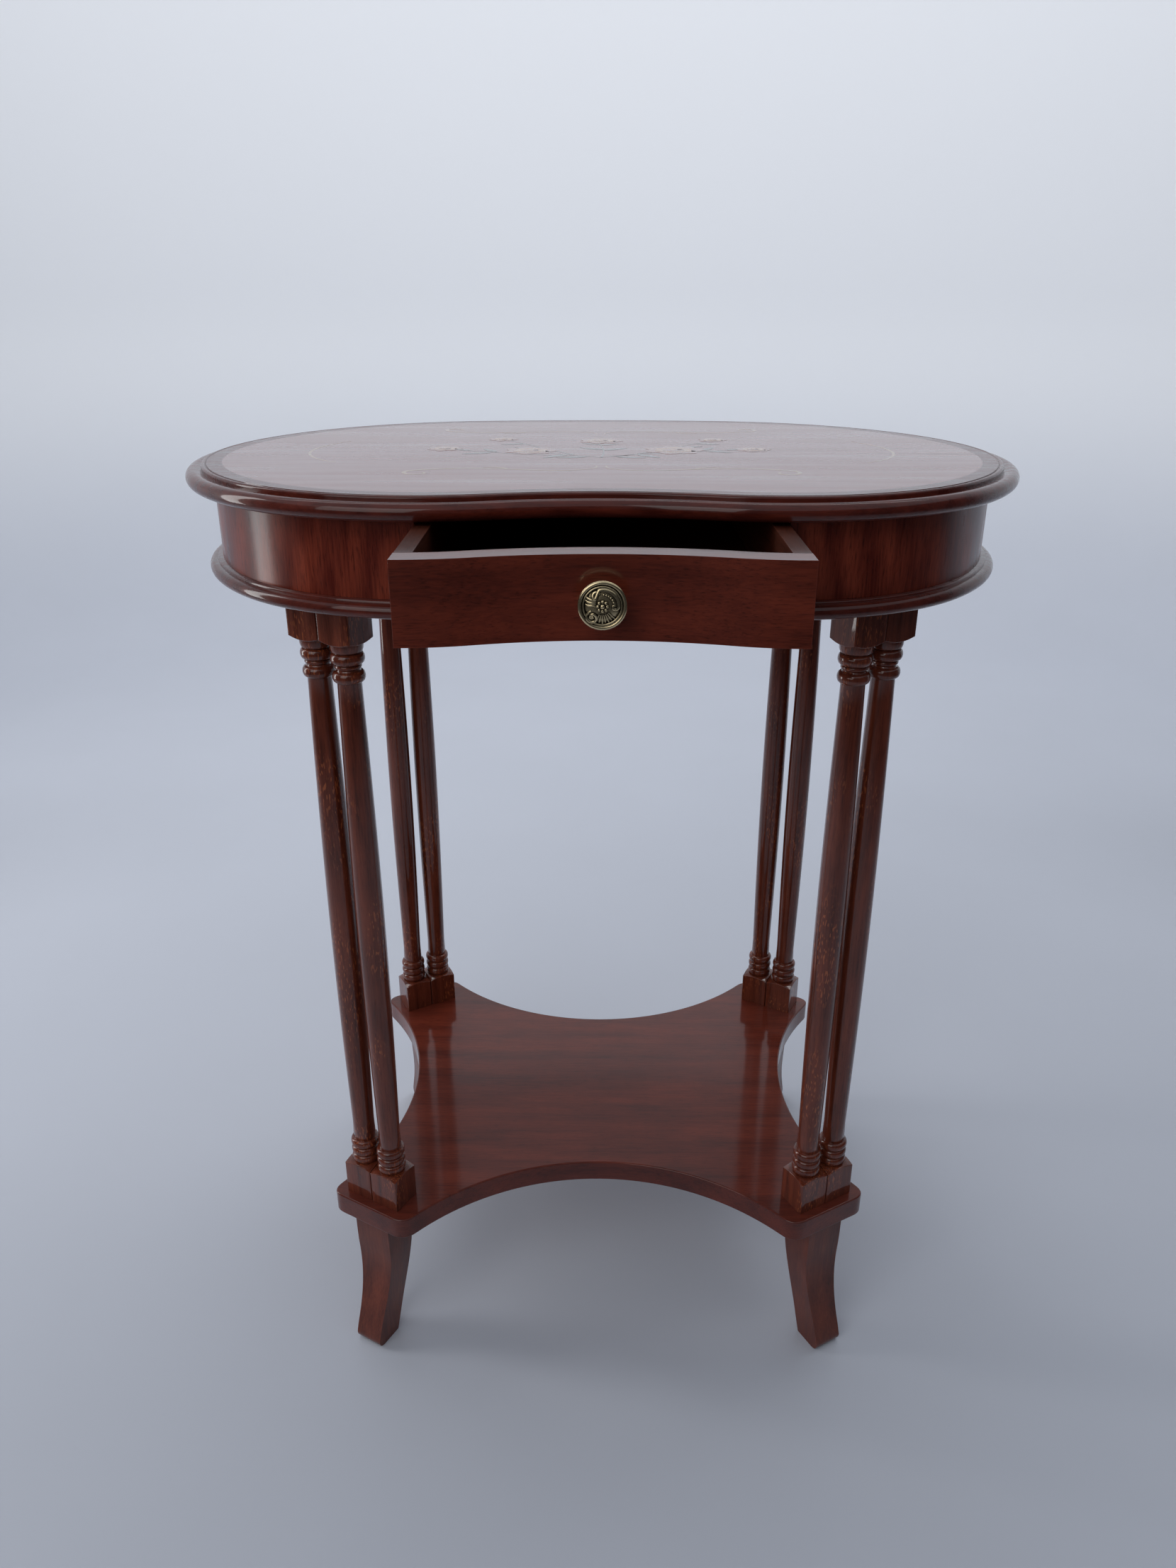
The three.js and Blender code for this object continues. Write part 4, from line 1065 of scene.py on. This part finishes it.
def make_drawer(context):
    """The drawer: a curved front, two sides, a back and a bottom in grooves."""
    sizes, colours = chosen(context)
    outer = -sizes.apron_setback
    inner = outer - sizes.front_thickness
    shut_face = face_depth(sizes, DRAWER_HALF, outer)
    drawn = DRAWER_SHIFT - min(shut_face, face_depth(sizes, sizes.lobe_spread, outer))
    lining = drawer_lining(colours, "y")

    profile = [(inner, DRAWER_FOOT), (inner, DRAWER_TOP), (outer, DRAWER_TOP), (outer, DRAWER_FOOT)]
    front = carry_round(sizes, profile, arcs=2)
    for direction in (1, -1):
        slice_off(front, (direction * DRAWER_HALF, 0, 0), (direction, 0, 0))
    bmesh.ops.translate(front, verts=front.verts[:], vec=(0, drawn, 0))
    finish_piece(
        context, "drawer_front_veneered", front, mahogany(colours, "x"), "drawer", ["drawer_front"],
        ease=0.5 * MM,
    )

    def curved_board(left, right, offset, back, bottom, top):
        """A board whose front end follows the drawer's curve."""
        steps = 24
        across = [left + (right - left) * step / steps for step in range(steps + 1)]
        ends = [(x, face_depth(sizes, x, offset) + drawn) for x in across]
        return plan_board([*ends, (right, back), (left, back)], bottom, top)

    # The sides stop a hairline behind the front.
    hairline = 0.15 * MM
    joint = inner - hairline
    for node in ("drawer_side_left", "drawer_side_right"):
        low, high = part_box(node)
        board = curved_board(low.x, high.x, joint, high.y, low.z, high.z)
        finish_piece(
            context, f"{node}_planed", board, lining, "drawer", [node], ease=0.5 * MM
        )
    low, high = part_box("drawer_bottom")
    board = curved_board(low.x, high.x, inner + sizes.groove, high.y, low.z, high.z)
    finish_piece(
        context, "drawer_bottom_panel", board, drawer_lining(colours, "x"), "drawer", ["drawer_bottom"],
    )
    low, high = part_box("drawer_back")
    board = plan_board([(low.x, low.y), (high.x, low.y), (high.x, high.y), (low.x, high.y)], low.z, high.z)
    finish_piece(
        context, "drawer_back_planed", board, drawer_lining(colours, "x"), "drawer", ["drawer_back"],
        ease=0.5 * MM,
    )


# ------------------------------------------------------------------ knob


def knob_relief(radius):
    """Raised ornament for the knob's dished face: a rosette, scrolls, leaves and rays."""
    bm = bmesh.new()

    def bar(points, thickest, ends=0.35):
        last = len(points) - 1
        swell = [math.sin(math.pi * index / last) for index in range(len(points))]
        radii = [thickest * (ends + (1 - ends) * share) for share in swell]
        gather(bm, tube([(x, y, 0) for x, y in points], radii))

    def pip(place, size):
        verts = bmesh.ops.create_uvsphere(bm, u_segments=12, v_segments=8, radius=size)["verts"]
        bmesh.ops.translate(bm, verts=verts, vec=(*place, 0))

    def ringed(count, reach, first, step):
        """Points on a circle, with its angles in degrees."""
        turns = [math.radians(first + step * index) for index in range(count)]
        return [(radius * reach * math.cos(turn), radius * reach * math.sin(turn)) for turn in turns]

    pip((0, 0), radius * 0.12)
    for place in ringed(8, 0.19, 0, 45):
        pip(place, radius * 0.085)
    for index in range(7):
        tip = 0.68 if index % 2 else 0.74
        ray = [ringed(1, reach, -112 + 11 * index, 0)[0] for reach in (0.34, (0.34 + tip) / 2, tip)]
        bar(ray, radius * 0.05, 0.7)
    volute = (-radius * 0.4, -radius * 0.46)
    bar(curl(volute, radius * 0.27, math.radians(100), 1.6, 26, 0.12), radius * 0.08, 0.6)
    pip(volute, radius * 0.09)
    hood = [
        *curl((-radius * 0.22, radius * 0.42), radius * 0.2, math.radians(250), -0.65, 10, 0.6)[::-1],
        *arc((0, 0), radius * 0.66, 128, 4, 16)[3:-2],
        *curl((radius * 0.5, -radius * 0.02), radius * 0.17, math.radians(20), -0.8, 10, 0.3),
    ]
    bar(hood, radius * 0.09, 0.6)
    for place in ringed(6, 0.47, 84, -13):
        pip(place, radius * 0.06)
    for index in range(3):
        lift = 0.13 * index
        wave = [
            (-0.26, -0.02 + lift * 0.7), (-0.42, 0.1 + lift * 0.8),
            (-0.55, -0.04 + lift), (-0.68, 0.08 + lift * 1.3),
        ]
        bar([(radius * x, radius * y) for x, y in wave], radius * 0.085, 0.4)
    return bm


def make_knob(context):
    """The knob: a turned stem and dished face with two raised rims, and its cast ornament."""
    sizes, colours = chosen(context)
    low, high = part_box("knob")
    radius = sizes.knob_radius
    reach = high.y - low.y
    back = reach - 6 * MM
    stem = sizes.knob_stem
    floor_level = reach - 2.6 * MM
    dish_radius = radius - 4.4 * MM
    dish_crown = 1.6 * MM
    profile = [
        (0, 0),
        (stem + 2 * MM, 0),
        (stem + 2 * MM, 0.9 * MM),
        *arc((stem + 2.4 * MM, 3.6 * MM), 2.6 * MM, 250, 180, 4),
        (stem - 0.3 * MM, back - 3 * MM),
        (stem + 1 * MM, back - 1.2 * MM),
        (radius - 3 * MM, back),
        (radius - 0.7 * MM, back + 1.6 * MM),
        *arc((radius - 1.3 * MM, back + 3 * MM), 1.3 * MM, -40, 150, 12),
        (radius - 2.8 * MM, floor_level + 0.2 * MM),
        *arc((radius - 3.4 * MM, floor_level + 0.3 * MM), 0.6 * MM, 0, 180, 8),
        (dish_radius, floor_level),
        (radius * 0.55, floor_level + 1.0 * MM),
        (radius * 0.25, floor_level + 1.5 * MM),
        (0, floor_level + dish_crown),
    ]
    bm = turn_on_lathe(profile, 64)
    relief = knob_relief(radius)
    for vert in relief.verts:
        share = min(1, Vector(vert.co.xy).length / dish_radius)
        vert.co.z += floor_level + dish_crown * (1 - share**2) + 0.15 * MM
    gather(bm, relief)
    middle = middle_of("knob")
    place = Matrix.Translation((middle.x, high.y, middle.z)) @ Matrix.Rotation(math.pi / 2, 4, "X")
    bmesh.ops.transform(bm, matrix=place, verts=bm.verts[:])
    brass = antique_brass(colours)
    finish_piece(context, "knob_cast", bm, brass, "drawer", ["knob"], crease=50)


# ------------------------------------------------------------------ inner pieces


def make_fixings(context):
    """Screws, bolts, glue blocks, guides and stops keep their solids and take their finish."""
    colours = context.scene.side_table_colours
    steel = zinc_steel(colours)
    beech = stained_beech(colours, "y")
    for name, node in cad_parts.items():
        if "screw" in name or "bolt" in name:
            material = steel
        elif name.startswith(("top_block", "drawer_guide", "drawer_stop")):
            material = beech
        else:
            continue
        node.data.materials.clear()
        node.data.materials.append(material)


# ------------------------------------------------------------------ stage


def aimed_light(context, name, power, width, height, place, target):
    """A soft rectangular light at a place, turned to face its target."""
    lamp = bpy.data.lights.new(name, "AREA")
    lamp.energy = power
    lamp.shape = "RECTANGLE"
    lamp.size = width
    lamp.size_y = height
    holder = bpy.data.objects.new(name, lamp)
    holder.location = place
    holder.rotation_euler = (target - place).to_track_quat("-Z", "Y").to_euler()
    context.scene.collection.objects.link(holder)


def make_stage(context):
    """A pale floor that curves up all round, soft light from the left and the front, and the camera."""
    scene = context.scene
    stage, colours = scene.side_table_stage, scene.side_table_colours
    bend = arc((stage.floor_radius, stage.cove), stage.cove, -90, 0, 16)
    room = turn_on_lathe([(0, 0), *bend, (stage.floor_radius + stage.cove, stage.wall_height)], 96)
    bmesh.ops.reverse_faces(room, faces=room.faces[:])
    as_object(context, "floor", room, painted_floor(colours))

    # The doorway stands to the left, level with the table, and shines straight across it.
    for name, power, width, height, place, target in (
        ("doorway", stage.doorway_power, 0.45, 2.2, (-2.1, 0.25, 1.15), (0, 0.25, 1.15)),
        ("backdrop wash", stage.wash_power, 3.0, 1.0, (0, 0.9, 2.7), (0, 2.9, 1.2)),
        ("room", stage.fill_power, 2.0, 2.0, (-1.3, -2.1, 1.9), (0, 0, TOP_FACE / 2)),
    ):
        aimed_light(context, name, power, width, height, Vector(place), Vector(target))

    world = bpy.data.worlds.new("even daylight")
    world.use_nodes = True
    background = world.node_tree.nodes["Background"]
    background.inputs["Color"].default_value = (*stage.skylight, 1)
    background.inputs["Strength"].default_value = stage.sky
    scene.world = world

    lens = bpy.data.cameras.new("camera")
    lens.lens = stage.lens
    lens.sensor_width = 36
    lens.clip_start = 0.02
    camera = bpy.data.objects.new("camera", lens)
    camera.location = (stage.camera_x, -stage.camera_distance, stage.camera_height)
    camera.rotation_euler = (math.pi / 2 - stage.camera_pitch, 0, stage.camera_turn)
    scene.collection.objects.link(camera)
    scene.camera = camera
    scene.view_settings.view_transform = "Standard"


# ------------------------------------------------------------------ operators and panel


class SIDETABLE_OT_stage(bpy.types.Operator):
    """Make the floor, the lights and the camera"""

    bl_idname = "side_table.stage"
    bl_label = "Stage"

    def execute(self, context):
        make_stage(context)
        return {"FINISHED"}


class SIDETABLE_OT_top(bpy.types.Operator):
    """Make the veneered top and its moulded edge"""

    bl_idname = "side_table.top"
    bl_label = "Top"

    def execute(self, context):
        make_top(context)
        return {"FINISHED"}


class SIDETABLE_OT_inlay(bpy.types.Operator):
    """Let the floral inlay into the top"""

    bl_idname = "side_table.inlay"
    bl_label = "Inlay"

    def execute(self, context):
        make_inlay(context)
        return {"FINISHED"}


class SIDETABLE_OT_apron(bpy.types.Operator):
    """Make the three bent pieces of the apron"""

    bl_idname = "side_table.apron"
    bl_label = "Apron"

    def execute(self, context):
        make_apron(context)
        return {"FINISHED"}


class SIDETABLE_OT_base(bpy.types.Operator):
    """Make the base board and its moulded edge"""

    bl_idname = "side_table.base"
    bl_label = "Base"

    def execute(self, context):
        make_base(context)
        return {"FINISHED"}


class SIDETABLE_OT_columns(bpy.types.Operator):
    """Turn the eight columns"""

    bl_idname = "side_table.columns"
    bl_label = "Columns"

    def execute(self, context):
        make_columns(context)
        return {"FINISHED"}


class SIDETABLE_OT_shelf(bpy.types.Operator):
    """Make the shelf with its hollowed sides"""

    bl_idname = "side_table.shelf"
    bl_label = "Shelf"

    def execute(self, context):
        make_shelf(context)
        return {"FINISHED"}


class SIDETABLE_OT_legs(bpy.types.Operator):
    """Make the four sabre legs"""

    bl_idname = "side_table.legs"
    bl_label = "Legs"

    def execute(self, context):
        make_legs(context)
        return {"FINISHED"}


class SIDETABLE_OT_drawer(bpy.types.Operator):
    """Make the drawer's front, sides, back and bottom"""

    bl_idname = "side_table.drawer"
    bl_label = "Drawer"

    def execute(self, context):
        make_drawer(context)
        return {"FINISHED"}


class SIDETABLE_OT_knob(bpy.types.Operator):
    """Make the cast brass knob"""

    bl_idname = "side_table.knob"
    bl_label = "Knob"

    def execute(self, context):
        make_knob(context)
        return {"FINISHED"}


class SIDETABLE_OT_fixings(bpy.types.Operator):
    """Finish the screws, bolts, blocks, guides and stops"""

    bl_idname = "side_table.fixings"
    bl_label = "Fixings"

    def execute(self, context):
        make_fixings(context)
        return {"FINISHED"}


STEPS = (
    SIDETABLE_OT_stage,
    SIDETABLE_OT_top,
    SIDETABLE_OT_inlay,
    SIDETABLE_OT_apron,
    SIDETABLE_OT_base,
    SIDETABLE_OT_columns,
    SIDETABLE_OT_shelf,
    SIDETABLE_OT_legs,
    SIDETABLE_OT_drawer,
    SIDETABLE_OT_knob,
    SIDETABLE_OT_fixings,
)


class SIDETABLE_PT_panel(bpy.types.Panel):
    """Lists the table's pieces, sizes and colours"""

    bl_idname = "SIDETABLE_PT_panel"
    bl_label = "Side Table"
    bl_space_type = "VIEW_3D"
    bl_region_type = "UI"
    bl_category = "Side Table"

    def draw(self, context):
        for step in STEPS:
            self.layout.operator(step.bl_idname)
        for group in ("side_table_sizes", "side_table_colours", "side_table_stage"):
            settings = getattr(context.scene, group)
            box = self.layout.box()
            for key in settings.__annotations__:
                box.prop(settings, key)


GROUPS = {
    "side_table_sizes": SideTableSizes,
    "side_table_colours": SideTableColours,
    "side_table_stage": SideTableStage,
}
CLASSES = (*GROUPS.values(), *STEPS, SIDETABLE_PT_panel)


def register():
    """Registers the classes and hangs the panel's settings on the scene."""
    for item in CLASSES:
        bpy.utils.register_class(item)
    for name, group in GROUPS.items():
        setattr(bpy.types.Scene, name, bpy.props.PointerProperty(type=group))


def unregister():
    """Takes the settings and the classes away again."""
    for name in GROUPS:
        delattr(bpy.types.Scene, name)
    for item in reversed(CLASSES):
        bpy.utils.unregister_class(item)


def main():
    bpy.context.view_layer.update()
    register()
    for step in STEPS:
        area, name = step.bl_idname.split(".")
        getattr(getattr(bpy.ops, area), name)()


if __name__ == "__main__":
    main()
